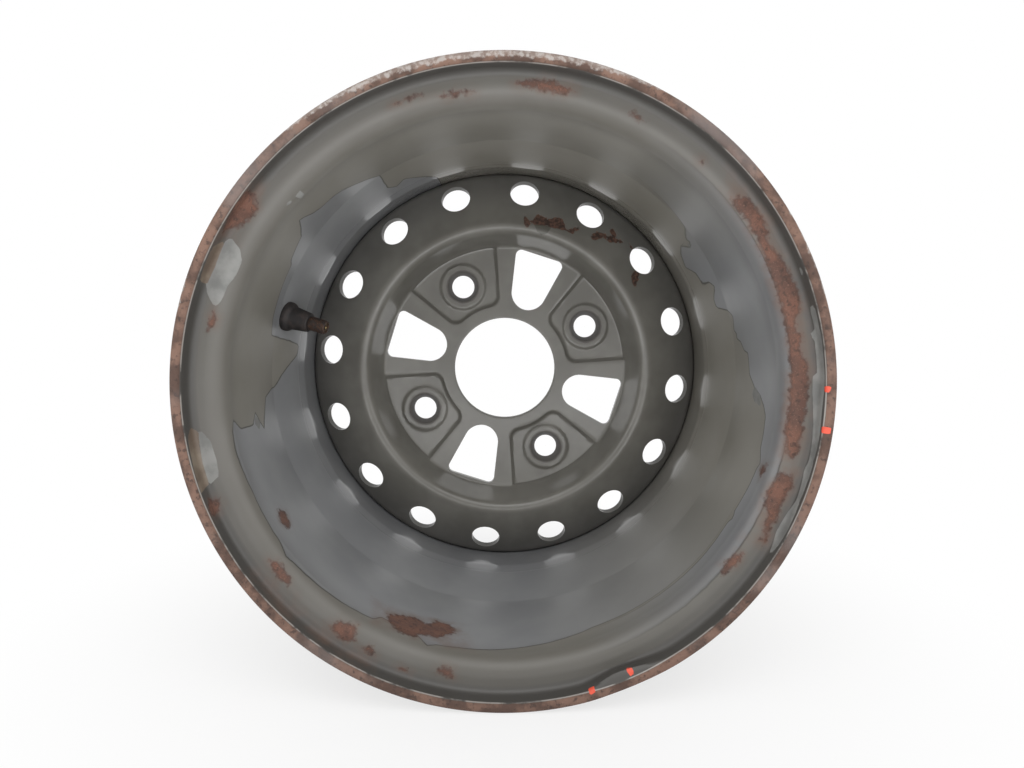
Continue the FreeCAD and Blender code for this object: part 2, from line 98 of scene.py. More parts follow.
def rounded_section(corners, step_at):
    """A closed wire in XY, in metres: x is the radius and y runs along the turning axis.
    Each corner is (radius, y, bend radius) in millimetres; step_at(r, y) is the longest edge there."""
    bm = bmesh.new()
    points = [bm.verts.new((r * MM, y * MM, 0)) for r, y, _ in corners]
    for pair in zip(points, points[1:] + points[:1]):
        bm.edges.new(pair)
    for point, (_, _, bend) in zip(points, corners):
        if bend:
            round_corner(bm, point, bend)
    for edge in bm.edges[:]:
        middle = (edge.verts[0].co + edge.verts[1].co) / 2 / MM
        cuts = int(edge.calc_length() / MM / step_at(middle.x, middle.y))
        if cuts:
            bmesh.ops.subdivide_edges(bm, edges=[edge], cuts=cuts)
    return bm

# %% [markdown]
# A mark such as a rust patch is placed by its angle round the wheel and its distance along the skin
# from the lip. The wire is walked once from the lip to give each vertex that distance. It is kept in
# a vertex layer, which the spin copies to every ring.

# %% Measure along a section and turn it
EIGHTH = math.pi / 4
SEAM_GAP = 0.002


def measure_along(bm, start, towards):
    """Keeps on each vertex its distance along the wire from start in millimetres.
    It counts up on the way to the point called towards, and down on the other way round."""
    layer = bm.verts.layers.float.new("run")
    first = min(bm.verts, key=lambda v: (v.co - Vector((*start, 0)) * MM).length)
    ahead = min((edge.other_vert(first) for edge in first.link_edges),
                key=lambda v: (v.co - Vector((*towards, 0)) * MM).length)
    loop, lengths = [first], [0.0]
    while ahead is not first:
        lengths.append(lengths[-1] + (ahead.co - loop[-1].co).length / MM)
        before, here = loop[-1], ahead
        loop.append(here)
        ahead = next(edge.other_vert(here) for edge in here.link_edges
                     if edge.other_vert(here) is not before)
    whole = lengths[-1] + (first.co - loop[-1].co).length / MM
    for vert, length in zip(loop, lengths):
        vert[layer] = length if length < whole / 2 else length - whole


def turn_round(bm, steps):
    """Spins the wire about Y into a closed shell whose faces point outwards.
    One eighth is spun and then doubled three times, because a long spin is slow."""
    bmesh.ops.spin(bm, geom=bm.verts[:] + bm.edges[:], cent=(0, 0, 0), axis=(0, 1, 0),
                   angle=EIGHTH, steps=steps // 8)
    for share in (1, 2, 4):
        copied = bmesh.ops.duplicate(bm, geom=bm.verts[:] + bm.edges[:] + bm.faces[:])["geom"]
        bmesh.ops.rotate(bm, verts=[item for item in copied if isinstance(item, bmesh.types.BMVert)],
                         cent=(0, 0, 0), matrix=Matrix.Rotation(share * EIGHTH, 3, "Y"))
    bmesh.ops.remove_doubles(bm, verts=bm.verts[:], dist=SEAM_GAP * MM)
    bmesh.ops.recalc_face_normals(bm, faces=bm.faces[:])


# %% [markdown]
# ## Pieces
# Every piece becomes one object at the origin that rides on its CAD body and stands for its node.
# Smooth shading hides the facets, and edges sharper than a set angle stay crisp.

# %% Make a piece from a bmesh
CRISP_ANGLE = math.radians(38)


def to_mesh(name, bm):
    mesh = bpy.data.meshes.new(name)
    bm.to_mesh(mesh)
    bm.free()
    return mesh


def link(name, data):
    item = bpy.data.objects.new(name, data)
    bpy.context.scene.collection.objects.link(item)
    return item


def shade(mesh):
    mesh.shade_smooth()
    mesh.set_sharp_from_angle(angle=CRISP_ANGLE)


def add_piece(name, bm, node):
    piece = link(name, to_mesh(name, bm))
    shade(piece.data)
    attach(piece, "wheel")
    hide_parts(node)
    print(name, len(piece.data.vertices), "vertices", len(piece.data.polygons), "faces")
    return piece

# %% [markdown]
# ## Rim
# The rim is one strip of steel rolled to a deep trough. Seen from the outer side it runs from a thick
# turned-over lip, down the flange, along a wide ledge where the tyre sits behind it, and down a slope
# into the well. The section below gives the tyre side first, then the side that faces the axle.

# %% Rim section
LIP_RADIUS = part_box("rim")[1].x / MM
TIP_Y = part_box("rim")[1].y / MM
LIP_THICKNESS, LIP_DEPTH = 5.0, 12.5
LIP_INSIDE = LIP_RADIUS - LIP_THICKNESS
BEAD_Y = TIP_Y - LIP_DEPTH
GAUGE = 2.6
SEAT_RADIUS = 126.6
LEDGE_RADIUS = 125.6
WELL_RADIUS = 118.0
LEDGE_LENGTH, SLOPE_LENGTH = 67.0, 37.0
INNER_LEDGE_LENGTH, INNER_SLOPE_LENGTH = 11.0, 12.0
LEDGE_END = -BEAD_Y + LEDGE_LENGTH
SLOPE_END = LEDGE_END + SLOPE_LENGTH
INNER_LEDGE_END = BEAD_Y - INNER_LEDGE_LENGTH
INNER_SLOPE_END = INNER_LEDGE_END - INNER_SLOPE_LENGTH
LIP_ROUND, CURL, SEAT_BEND, WELL_BEND = 1.9, 8.4, 6.5, 12.0
wall_y = BEAD_Y + GAUGE
inside_curl = CURL - LIP_RADIUS + LIP_INSIDE
tyre_skin = [
    (LIP_RADIUS, -TIP_Y, LIP_ROUND), (LIP_RADIUS, -BEAD_Y, CURL), (SEAT_RADIUS, -BEAD_Y, SEAT_BEND),
    (LEDGE_RADIUS, LEDGE_END, WELL_BEND), (WELL_RADIUS, SLOPE_END, WELL_BEND),
    (WELL_RADIUS, INNER_SLOPE_END, WELL_BEND), (LEDGE_RADIUS, INNER_LEDGE_END, WELL_BEND),
    (SEAT_RADIUS, BEAD_Y, SEAT_BEND), (LIP_RADIUS, BEAD_Y, CURL), (LIP_RADIUS, TIP_Y, LIP_ROUND),
]
axle_skin = [
    (LIP_INSIDE, TIP_Y, LIP_ROUND), (LIP_INSIDE, wall_y, inside_curl),
    (SEAT_RADIUS - GAUGE, wall_y, SEAT_BEND + GAUGE), (LEDGE_RADIUS - GAUGE, INNER_LEDGE_END, WELL_BEND),
    (WELL_RADIUS - GAUGE, INNER_SLOPE_END, WELL_BEND), (WELL_RADIUS - GAUGE, SLOPE_END, WELL_BEND),
    (LEDGE_RADIUS - GAUGE, LEDGE_END, WELL_BEND), (SEAT_RADIUS - GAUGE, -wall_y, SEAT_BEND + GAUGE),
    (LIP_INSIDE, -wall_y, inside_curl), (LIP_INSIDE, -TIP_Y, LIP_ROUND),
]
print("rim corners", len(tyre_skin) + len(axle_skin))

# %% [markdown]
# The skin that the outer side shows carries the marks, so its edges are cut short. Elsewhere long ones do.

# %% Spin the rim
RIM_STEPS = 448
FINE_STEP, COARSE_STEP = 1.7, 9.0
SKIN_SHARE = 0.3
LEDGE_MARGIN, WELL_MARGIN = 5, 15


def rim_step(radius, y):
    """Fine on the skin that the outer side shows, coarser elsewhere."""
    in_well = radius < WELL_RADIUS - SKIN_SHARE * GAUGE
    on_ledge = radius < LEDGE_RADIUS - SKIN_SHARE * GAUGE and y < LEDGE_END - LEDGE_MARGIN
    shown = (in_well or on_ledge) and y < INNER_SLOPE_END - WELL_MARGIN
    return FINE_STEP if shown else COARSE_STEP


rim_bm = rounded_section(tyre_skin + axle_skin, rim_step)
measure_along(rim_bm, (LIP_RADIUS - LIP_ROUND, -TIP_Y), (LIP_INSIDE, -TIP_Y))
print("rim section", len(rim_bm.verts), "points")
turn_round(rim_bm, RIM_STEPS)

# %% [markdown]
# ## Valve hole
# The valve is pushed through a hole in the slope of the well. Its axis and its tip are in the record,
# as a mount, and one matrix along that axis places the hole and everything of the valve.

# %% Valve frame
VALVE_LENGTH = 23.5
VALVE_HOLE = 11.5
tip_mount = next(m for m in frame["record"]["mounts"] if m["name"] == "valve_tip")
valve_axis = Vector(tip_mount["axis"]).normalized()
valve_middle = Vector(tip_mount["pos_m"])
valve_foot = valve_middle - valve_axis * (VALVE_LENGTH - tip_mount["dims"]["length_mm"] / 2) * MM
valve_matrix = Matrix.Translation(valve_foot) @ valve_axis.to_track_quat("Y", "Z").to_matrix().to_4x4()
print("valve foot", valve_foot / MM)

# %% [markdown]
# A Boolean modifier cuts as cleanly as a punch. It is evaluated once, and its result becomes the mesh.

# %% Cut with a Boolean
def cut_away(piece, cutter_bm):
    """Takes the cutter's volume out of the piece and keeps the result as the piece's mesh."""
    cutter_mesh = to_mesh("cutter", cutter_bm)
    cutter = link("cutter", cutter_mesh)
    cut = piece.modifiers.new("cut", "BOOLEAN")
    cut.operation = "DIFFERENCE"
    cut.solver = "MANIFOLD"
    cut.object = cutter
    graph = bpy.context.evaluated_depsgraph_get()
    result = bpy.data.meshes.new_from_object(piece.evaluated_get(graph))
    piece.modifiers.clear()
    old = piece.data
    piece.data = result
    result.materials.clear()
    bpy.data.meshes.remove(old)
    result.name = piece.name
    bpy.data.objects.remove(cutter)
    bpy.data.meshes.remove(cutter_mesh)
    shade(result)
    print(piece.name, "cut to", len(result.polygons), "faces")


# %% [markdown]
# ## Bent lip
# At the lower right a knock has rolled the lip inwards over a few centimetres, and a lighter one shows at
# the right. The lip's inner edge gives most and its outer edge hardly at all, so the move depends on the
# run from the front of the lip.

# %% Knock the lip in
# each dent: its start, deepest place and end in degrees, and its depth in millimetres
DENTS = ((146.0, 158.0, 166.0, 4.6), (86.0, 92.5, 99.0, 0.7))
# how much of that depth each run from the front of the lip takes
DENT_SHARES = ((-6, 0.0), (-3, 0.03), (1.5, 0.35), (5, 1.0), (8, 0.8), (14, 0.0))


def ease(amount):
    """A smooth step from 0 to 1."""
    amount = min(max(amount, 0.0), 1.0)
    return amount * amount * (3 - 2 * amount)


rim_layer = rim_bm.verts.layers.float["run"]
dented = 0
for vert in rim_bm.verts:
    angle = math.degrees(math.atan2(vert.co.x, vert.co.z)) % 360
    for start, deepest, end, depth in DENTS:
        if start < angle < end and DENT_SHARES[0][0] < vert[rim_layer] < DENT_SHARES[-1][0]:
            bent = min(ease((angle - start) / (deepest - start)), ease((end - angle) / (end - deepest)))
            share = float(np.interp(vert[rim_layer], *zip(*DENT_SHARES)))
            shrink = 1 - depth * MM * bent * share / math.hypot(vert.co.x, vert.co.z)
            vert.co.x *= shrink
            vert.co.z *= shrink
            dented += 1
print("dented", dented, "vertices")
rim = add_piece("rim_barrel", rim_bm, "rim")

# %% [markdown]
# A Boolean needs a finished object, so the hole is cut once the lip is bent.

# %% Punch the valve hole
HOLE_FACETS = 48
PUNCH_LENGTH = 6 * GAUGE


def punch(radius, length, facets):
    """A round cutter along Z."""
    bm = bmesh.new()
    bmesh.ops.create_cone(bm, cap_ends=True, segments=facets, radius1=radius * MM, radius2=radius * MM,
                          depth=length * MM)
    return bm


hole_bm = punch(VALVE_HOLE / 2, PUNCH_LENGTH, HOLE_FACETS)
bmesh.ops.rotate(hole_bm, verts=hole_bm.verts, matrix=Matrix.Rotation(-math.pi / 2, 3, "X"))
hole_bm.transform(valve_matrix)
cut_away(rim, hole_bm)

# %% [markdown]
# ## Centre disc
# The disc is one stamping: a flat base with four sunk pads, a steep wall up to a rounded crest, a cone
# with a ring of vents, and an edge that turns back into the well. The section is spun like the rim's.

# %% Disc section
DISC_GAUGE = 3.2
BORE_RADIUS = 30.3
BASE_Y = 45.75
FOOT_RADIUS = 73.2
WALL_ANGLE, CONE_ANGLE = math.radians(70), math.radians(28.8)
VENT_RING, VENT_Y = 103.6, 37.35
DISC_EDGE = 115.3
DISC_LIP = 8.0
CREST_ROUND, FOOT_ROUND, EDGE_ROUND = 5.0, 2.0, 5.0
BORE_ROUND, END_ROUND = 0.6, 0.4
BASE_STEP, CONE_STEP = 0.85, 1.6
DISC_STEPS = 384
cone_foot = VENT_Y - (VENT_RING - FOOT_RADIUS) * math.tan(CONE_ANGLE)
crest_out = (BASE_Y - cone_foot) / (math.tan(WALL_ANGLE) + math.tan(CONE_ANGLE))
crest = (FOOT_RADIUS + crest_out, BASE_Y - crest_out * math.tan(WALL_ANGLE))
edge_y = VENT_Y + (DISC_EDGE - VENT_RING) * math.tan(CONE_ANGLE)


def behind(corner, first, second):
    """The sheet's back corner behind a front one, between runs at two direction angles."""
    reach = DISC_GAUGE / math.cos((second - first) / 2)
    middle = (first + second) / 2
    return corner[0] - reach * math.sin(middle), corner[1] + reach * math.cos(middle)


foot = (FOOT_RADIUS, BASE_Y)
edge = (DISC_EDGE, edge_y)
disc_corners = [
    (BORE_RADIUS, BASE_Y, BORE_ROUND), (*foot, FOOT_ROUND), (*crest, CREST_ROUND), (*edge, EDGE_ROUND),
    (DISC_EDGE, edge_y + DISC_LIP, END_ROUND), (DISC_EDGE - DISC_GAUGE, edge_y + DISC_LIP, END_ROUND),
    (*behind(edge, CONE_ANGLE, math.pi / 2), EDGE_ROUND - DISC_GAUGE),
    (*behind(crest, -WALL_ANGLE, CONE_ANGLE), CREST_ROUND - DISC_GAUGE),
    (*behind(foot, 0, -WALL_ANGLE), FOOT_ROUND + DISC_GAUGE),
    (BORE_RADIUS, BASE_Y + DISC_GAUGE, BORE_ROUND),
]
disc_bm = rounded_section(disc_corners, lambda r, y: BASE_STEP if r < FOOT_RADIUS else CONE_STEP)
measure_along(disc_bm, (BORE_RADIUS + BORE_ROUND, BASE_Y), (FOOT_RADIUS, BASE_Y))
print("disc section", len(disc_bm.verts), "points, crest at", crest)
turn_round(disc_bm, DISC_STEPS)

# %% [markdown]
# ## Pads and bosses
# Each pad is a sector of the base pushed back towards the hub, with rounded inner corners and a sloping
# border. Round each lug hole the front of the pad stands up again as a low ring. Both are smooth steps
# in depth, so the base's vertices are simply moved along the axle by how far inside the shape they lie.

# %% Press the pads
LUG_COUNT = 4
LUG_PITCH = 360 / LUG_COUNT
LUG_ANGLE = 62.8
BOLT_CIRCLE = 110.0
PAD_HALF_ANGLE = math.radians(23.9)
PAD_INNER = 37.2
PAD_CORNER = 7.0
PAD_RECESS = 3.0
PAD_BORDER = 2.6
BOSS_RADIUS, BOSS_HEIGHT, BOSS_BORDER = 13.5, 1.4, 1.2
FOOT_MARGIN, WALL_MARGIN = 0.2, 0.5
BASE_RUN = 60


def polar(angle, radius, y=0.0):
    """A point at an angle clockwise from the top, seen from the outer side."""
    turn = math.radians(angle)
    return Vector((radius * math.sin(turn), y, radius * math.cos(turn)))


run_layer = disc_bm.verts.layers.float["run"]
lugs = [polar(LUG_ANGLE + LUG_PITCH * i, BOLT_CIRCLE / 2) for i in range(LUG_COUNT)]
for vert in disc_bm.verts:
    radius = math.hypot(vert.co.x, vert.co.z) / MM
    if radius > FOOT_RADIUS - FOOT_MARGIN or vert.co.y < (BASE_Y - WALL_MARGIN) * MM:
        continue
    angle = math.atan2(vert.co.x, vert.co.z)
    off = abs((angle - math.radians(LUG_ANGLE) + EIGHTH) % (2 * EIGHTH) - EIGHTH)
    side = radius * math.sin(PAD_HALF_ANGLE - off)
    end = radius - PAD_INNER
    inside = PAD_CORNER - math.hypot(max(PAD_CORNER - side, 0), max(PAD_CORNER - end, 0))
    move = PAD_RECESS * ease(inside / PAD_BORDER)
    if 0 <= vert[run_layer] < BASE_RUN:
        away = min((Vector((vert.co.x, 0, vert.co.z)) / MM - lug).length for lug in lugs)
        move -= BOSS_HEIGHT * ease((BOSS_RADIUS + BOSS_BORDER / 2 - away) / BOSS_BORDER)
    vert.co.y += move * MM
disc = add_piece("centre_disc", disc_bm, "disc")

# %% [markdown]
# ## Holes in the disc
# Sixteen vents are punched square to the cone, each lug hole opens towards the nut, and four windows sit
# between the pads. All the cutters are gathered in one bmesh, and one Boolean cuts them.

# %% Cutters for the vents
VENT_COUNT, VENT_RADIUS = 16, 8.4
VENT_PITCH = 360 / VENT_COUNT
VENT_LENGTH = 5 * DISC_GAUGE
ROUND_FACETS = 56
cutters = bmesh.new()


def gather(whole, part, matrix):
    """Adds a finished bmesh to a larger one, moved into place."""
    bmesh.ops.recalc_face_normals(part, faces=part.faces[:])
    part.transform(matrix)
    lip_edge_highlight = to_mesh("part", part)
    whole.from_mesh(lip_edge_highlight)
    bpy.data.meshes.remove(lip_edge_highlight)


def round_the_axle(angle):
    """Turns +Z to an angle clockwise from the top."""
    return Matrix.Rotation(math.radians(angle), 4, "Y")


lean = Matrix.Rotation(math.pi / 2 - CONE_ANGLE, 4, "X")
out_to_ring = Matrix.Translation(Vector((0, VENT_Y, VENT_RING)) * MM)
for i in range(VENT_COUNT):
    vent = punch(VENT_RADIUS, VENT_LENGTH, ROUND_FACETS)
    turn = round_the_axle(LUG_ANGLE + VENT_PITCH / 2 + VENT_PITCH * i)
    gather(cutters, vent, turn @ out_to_ring @ lean)
print("vents", VENT_COUNT)

# %% [markdown]
# A lug hole is a bore with a cone that centres the nut, so its cutter is a section spun about the hole's
# axis. The section stops just short of that axis, so that no face has zero width.

# %% Cutters for the lug holes
LUG_HOLE, LUG_SEAT = 13.5, 17.8
SEAT_SLOPE = math.radians(30)
ABOVE_SEAT, BELOW_SEAT = 1, 12
AXIS_GAP = 0.01
UNCUT = 100
seat = BASE_Y + PAD_RECESS - BOSS_HEIGHT
cone_depth = (LUG_SEAT - LUG_HOLE) / 2 / math.tan(SEAT_SLOPE)
mouth = LUG_SEAT / 2 + ABOVE_SEAT * math.tan(SEAT_SLOPE)
for lug in lugs:
    hole = rounded_section([
        (AXIS_GAP, seat - ABOVE_SEAT, 0), (mouth, seat - ABOVE_SEAT, 0),
        (LUG_HOLE / 2, seat + cone_depth, 0), (LUG_HOLE / 2, seat + BELOW_SEAT, 0),
        (AXIS_GAP, seat + BELOW_SEAT, 0)], lambda r, y: UNCUT)
    turn_round(hole, ROUND_FACETS)
    gather(cutters, hole, Matrix.Translation(lug * MM))
print("lug holes", len(lugs))

# %% [markdown]
# A window is a wedge: one flat face with rounded corners, drawn out to a block that passes the base.

# %% Cutters for the windows
WINDOW_ENDS = (37.2, 71.0)
WINDOW_WIDTHS = (16.9, 30.5)
WINDOW_ROUNDS = (10.2, 3.6)
WINDOW_SEGMENTS = 10
WINDOW_FRONT, WINDOW_LENGTH = 12, 30
# each corner: its side, and 0 for the end near the axle or 1 for the far end
WINDOW_CORNERS = ((-1, 0), (1, 0), (1, 1), (-1, 1))
to_front = Matrix.Translation((0, (BASE_Y - WINDOW_FRONT) * MM, 0))
for i in range(LUG_COUNT):
    window = bmesh.new()
    wedge = [window.verts.new((side * WINDOW_WIDTHS[end] / 2 * MM, 0, WINDOW_ENDS[end] * MM))
             for side, end in WINDOW_CORNERS]
    window.faces.new(wedge)
    for corner, (_, end) in zip(wedge, WINDOW_CORNERS):
        round_corner(window, corner, WINDOW_ROUNDS[end], WINDOW_SEGMENTS)
    grown = bmesh.ops.extrude_face_region(window, geom=window.faces[:])
    raised = [item for item in grown["geom"] if isinstance(item, bmesh.types.BMVert)]
    bmesh.ops.translate(window, verts=raised, vec=(0, WINDOW_LENGTH * MM, 0))
    gather(cutters, window, round_the_axle(LUG_ANGLE - LUG_PITCH / 2 + LUG_PITCH * i) @ to_front)
cut_away(disc, cutters)

# %% [markdown]
# ## Welds
# Eight short weld runs hold the disc's edge to the well on the hub side. A weld bead has ripples, so a
# small wedge section is spun over each run's arc and its rings are then swollen in turn.

# %% Weld runs
WELD_COUNT, WELD_ARC, WELD_LEG = 8, 30.0, 3.2
WELD_STEPS = 120
WELD_Y = edge_y + DISC_LIP
WELL_INSIDE = WELL_RADIUS - GAUGE
WELD_STEP = 0.8
THROAT = 0.57 * WELD_LEG
THROAT_ROUND = 1.2
RIPPLE = 2.2
RIPPLE_DEPTH = 0.12


def close_ends(bm, first_edges, spun):
    bmesh.ops.contextual_create(bm, geom=first_edges)
    last_edges = [item for item in spun["geom_last"] if isinstance(item, bmesh.types.BMEdge)]
    bmesh.ops.contextual_create(bm, geom=last_edges)


weld_bm = bmesh.new()
for i in range(WELD_COUNT):
    bead = rounded_section([
        (WELL_INSIDE, WELD_Y, 0), (WELL_INSIDE, WELD_Y + WELD_LEG, 0),
        (WELL_INSIDE - THROAT, WELD_Y + THROAT, THROAT_ROUND),
        (WELL_INSIDE - WELD_LEG, WELD_Y, 0)], lambda r, y: WELD_STEP)
    first_edges = bead.edges[:]
    spun = bmesh.ops.spin(bead, geom=bead.verts[:] + first_edges, cent=(0, 0, 0), axis=(0, 1, 0),
                          angle=math.radians(WELD_ARC), steps=WELD_STEPS)
    close_ends(bead, first_edges, spun)
    gather(weld_bm, bead, round_the_axle(LUG_ANGLE + 360 / WELD_COUNT * i - WELD_ARC / 2))
for vert in weld_bm.verts:
    radius = math.hypot(vert.co.x, vert.co.z)
    along = math.atan2(vert.co.x, vert.co.z) * WELL_INSIDE
    swell = 1 - RIPPLE_DEPTH * (1 - abs(math.sin(math.pi * along / RIPPLE)))
    sunk = (WELL_INSIDE * MM + (radius - WELL_INSIDE * MM) * swell) / radius
    vert.co = Vector((vert.co.x * sunk, WELD_Y * MM + (vert.co.y - WELD_Y * MM) * swell, vert.co.z * sunk))
weld = add_piece("weld_runs", weld_bm, "disc_weld")

# %% [markdown]
# ## Tyre valve
# The valve is a moulded rubber plug round a short threaded brass stem. The rubber has a domed collar on
# the wheel's side and a fat bulb on the tyre's side, with a groove between them that grips the rim.

# %% Rubber
STEM_RADIUS, STEM_FOOT, RUBBER_END = 3.1, -2.0, 14.0
AIR_HOLE = 1.5
RUBBER_STEP, RUBBER_STEPS = 1.2, 96
rubber_bm = rounded_section([
    (AIR_HOLE, -12.15, 0.3), (6.5, -12.15, 1.0), (9.25, -5.0, 1.5), (9.25, -2.65, 0.5), (5.7, -2.65, 0),
    (5.7, 0.05, 0), (7.9, 0.05, 0.4), (7.9, 2.6, 2.0), (6.3, 4.2, 1.0), (5.7, 9.0, 2.0),
    (5.1, RUBBER_END, 0.7), (STEM_RADIUS, RUBBER_END, 0), (STEM_RADIUS, STEM_FOOT, 0),
    (AIR_HOLE, STEM_FOOT, 0)], lambda r, y: RUBBER_STEP)
turn_round(rubber_bm, RUBBER_STEPS)
rubber_bm.transform(valve_matrix)
rubber = add_piece("valve_plug", rubber_bm, "valve_rubber")

# %% [markdown]
# The thread is one small ridge, spun for ten turns while it climbs. It sinks a little into the stem.

# %% Threaded stem
STEM_STEP, STEM_STEPS = 1.5, 72
THREAD_PITCH, THREAD_TURNS, THREAD_STEPS = 0.8, 10, 40
THREAD_CORE = 3.5
PLUG_HOLE, CORE_HOLE = 2.65, 2.1
RIDGE = ((3.45, 14.3), (3.84, 14.6), (3.84, 14.7), (3.45, 15.0))
stem_bm = rounded_section([
    (1.3, STEM_FOOT, 0), (STEM_RADIUS, STEM_FOOT, 0), (STEM_RADIUS, RUBBER_END, 0),
    (THREAD_CORE, RUBBER_END, 0.2), (THREAD_CORE, VALVE_LENGTH, 0.35), (PLUG_HOLE, VALVE_LENGTH, 0.2),
    (PLUG_HOLE, 16.5, 0), (CORE_HOLE, 16.5, 0), (CORE_HOLE, 5.1, 0), (1.3, 5.1, 0)], lambda r, y: STEM_STEP)
turn_round(stem_bm, STEM_STEPS)
ridge = [stem_bm.verts.new((r * MM, y * MM, 0)) for r, y in RIDGE]
ridge_edges = [stem_bm.edges.new(pair) for pair in zip(ridge, ridge[1:] + ridge[:1])]
spun = bmesh.ops.spin(
    stem_bm, geom=ridge + ridge_edges, cent=(0, 0, 0), axis=(0, 1, 0), angle=2 * math.pi * THREAD_TURNS,
    steps=THREAD_STEPS * THREAD_TURNS, dvec=(0, THREAD_PITCH / THREAD_STEPS * MM, 0))
close_ends(stem_bm, ridge_edges, spun)
bmesh.ops.recalc_face_normals(stem_bm, faces=stem_bm.faces[:])
stem_bm.transform(valve_matrix)
stem = add_piece("valve_stem_threaded", stem_bm, "valve_stem")

# %% [markdown]
# ## Core spring
# The core's spring keeps its CAD shape. On the real valve it shortens when the pin is pressed, while its
# far end stays on the barrel's floor. That far end is found along the valve's axis.

# %% Spring from the CAD mesh
PIN_TRAVEL = 1.2
spring_node = frame["nodes"]["core_spring"]
spring_bm = bmesh.new()
spring_bm.from_mesh(spring_node.data)
spring_bm.transform(spring_node.matrix_world)
reach = [(vert.co - valve_foot).dot(valve_axis) / MM for vert in spring_bm.verts]
spring = add_piece("core_spring_coil", spring_bm, "core_spring")
spring_anchor = valve_foot + valve_axis * min(reach) * MM
1 - PIN_TRAVEL / (max(reach) - min(reach))
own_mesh(spring)
print("spring from", min(reach), "to", max(reach), "mm along the valve")

# %% [markdown]
# ## Shader maths
# A finish is a node tree. To keep it readable, one small class wraps a socket and lets Python's
# operators add Math nodes, and one method adds any other node with its settings and inputs.

# %% Values
class Value:
    """One socket of a finish. Operators on it add Math nodes to the same tree."""

    def __init__(self, finish, socket):
        self.finish = finish
        self.socket = socket

    def math(self, operation, *values):
        return self.finish.node("ShaderNodeMath", {"operation": operation}, dict(enumerate(values)))

    def __add__(self, other):
        return self.math("ADD", self, other)

    def __sub__(self, other):
        return self.math("SUBTRACT", self, other)

    def __rsub__(self, other):
        return self.math("SUBTRACT", other, self)

    def __mul__(self, other):
        return self.math("MULTIPLY", self, other)

    __radd__ = __add__
    __rmul__ = __mul__

    def size(self):
        return self.math("ABSOLUTE", self)

    def larger(self, other):
        return self.math("MAXIMUM", self, other)

    def rise(self, low, high):
        """0 below low, 1 above high, with a smooth step between."""
        return self.finish.node("ShaderNodeMapRange", {"interpolation_type": "SMOOTHSTEP"},
                                {"Value": self, "From Min": low, "From Max": high})


# %% [markdown]
# A finish is one Principled shader, with short methods for noise, stored marks and coats of colour.

# %% Finishes
NOISE_ROUGHNESS = 0.55


class Nodes:
    """A node tree whose every node is made by one method."""

    def __init__(self, tree):
        self.tree = tree

    def node(self, kind, settings, inputs, output=0):
        node = self.tree.nodes.new(kind)
        for setting, choice in settings.items():
            setattr(node, setting, choice)
        for socket, source in inputs.items():
            self.feed(node.inputs[socket], source)
        return Value(self, node.outputs[output])

    def feed(self, socket, source):
        if isinstance(source, Value):
            self.tree.links.new(source.socket, socket)
        else:
            socket.default_value = source


class Finish(Nodes):
    """A material with one Principled shader and the nodes that feed it."""

    def __init__(self, name, **constants):
        self.material = bpy.data.materials.new(name)
        self.material.use_nodes = True
        super().__init__(self.material.node_tree)
        self.shader = self.tree.nodes["Principled BSDF"]
        for socket, number in constants.items():
            self.shader.inputs[socket.replace("_", " ")].default_value = number
        self.place = self.node("ShaderNodeTexCoord", {}, {}, "Object")

    def mottle(self, grain, detail=3.0):
        """Soft noise between 0 and 1 whose blotches are about grain millimetres across."""
        return self.node("ShaderNodeTexNoise", {}, {
            "Vector": self.place, "Scale": 1 / (grain * MM), "Detail": detail, "Roughness": NOISE_ROUGHNESS})

    def layer(self, name):
        return self.node("ShaderNodeAttribute", {"attribute_name": name}, {}, "Fac")

    def blend(self, under, over, amount):
        """The colour over, laid on the colour under by an amount from 0 to 1."""
        return self.node("ShaderNodeMix", {"data_type": "RGBA"}, {0: amount, 6: under, 7: over}, 2)

    def coats(self, colour, *layers):
        """Lays colours one over the other, each given as (colour, amount)."""
        for over, amount in layers:
            colour = self.blend(colour, over, amount)
        return colour

    def finish_with(self, relief=None, **sockets):
        """Feeds the shader. Relief is a height in millimetres."""
        for socket, source in sockets.items():
            self.feed(self.shader.inputs[socket.replace("_", " ")], source)
        if relief is not None:
            bump = self.node("ShaderNodeBump", {}, {"Strength": 1.0, "Distance": MM, "Height": relief})
            self.feed(self.shader.inputs["Normal"], bump)
        print(self.material.name, len(self.tree.nodes), "nodes")


def tint(red, green, blue):
    """A colour picked as 0 to 255 on a screen, as the shader's linear numbers."""
    def linear(level):
        level /= 255
        return level / 12.92 if level <= 0.04045 else ((level + 0.055) / 1.055) ** 2.4
    return linear(red), linear(green), linear(blue), 1.0


# %% [markdown]
# ## Where the marks lie
# Peeled paint, rust and flakes are drawn as outlines on the unrolled skin: an angle clockwise from the
# top in degrees, and a run from the lip in millimetres. Each vertex keeps how far inside the nearest
# outline it lies. The shader turns that distance into a ragged edge, which can be finer than the mesh.

# %% Distance inside an outline
UNROLL_RADIUS = 128.0
MARK_MARGIN = 14.0


def inside_by(outline, across, along):
    """How far each point lies inside a closed outline; outside it is negative."""
    x, y = (np.array(column, float) for column in zip(*outline))
    nearest = np.full(across.shape, np.inf)
    inside = np.zeros(across.shape, bool)
    for x1, y1, x2, y2 in zip(x, y, np.roll(x, -1), np.roll(y, -1)):
        dx, dy = x2 - x1, y2 - y1
        share = np.clip(((across - x1) * dx + (along - y1) * dy) / (dx * dx + dy * dy), 0, 1)
        nearest = np.minimum(nearest, np.hypot(across - x1 - share * dx, along - y1 - share * dy))
        if dy:
            inside ^= ((y1 > along) != (y2 > along)) & (across < x1 + (along - y1) * dx / dy)
    return np.where(inside, nearest, -nearest)


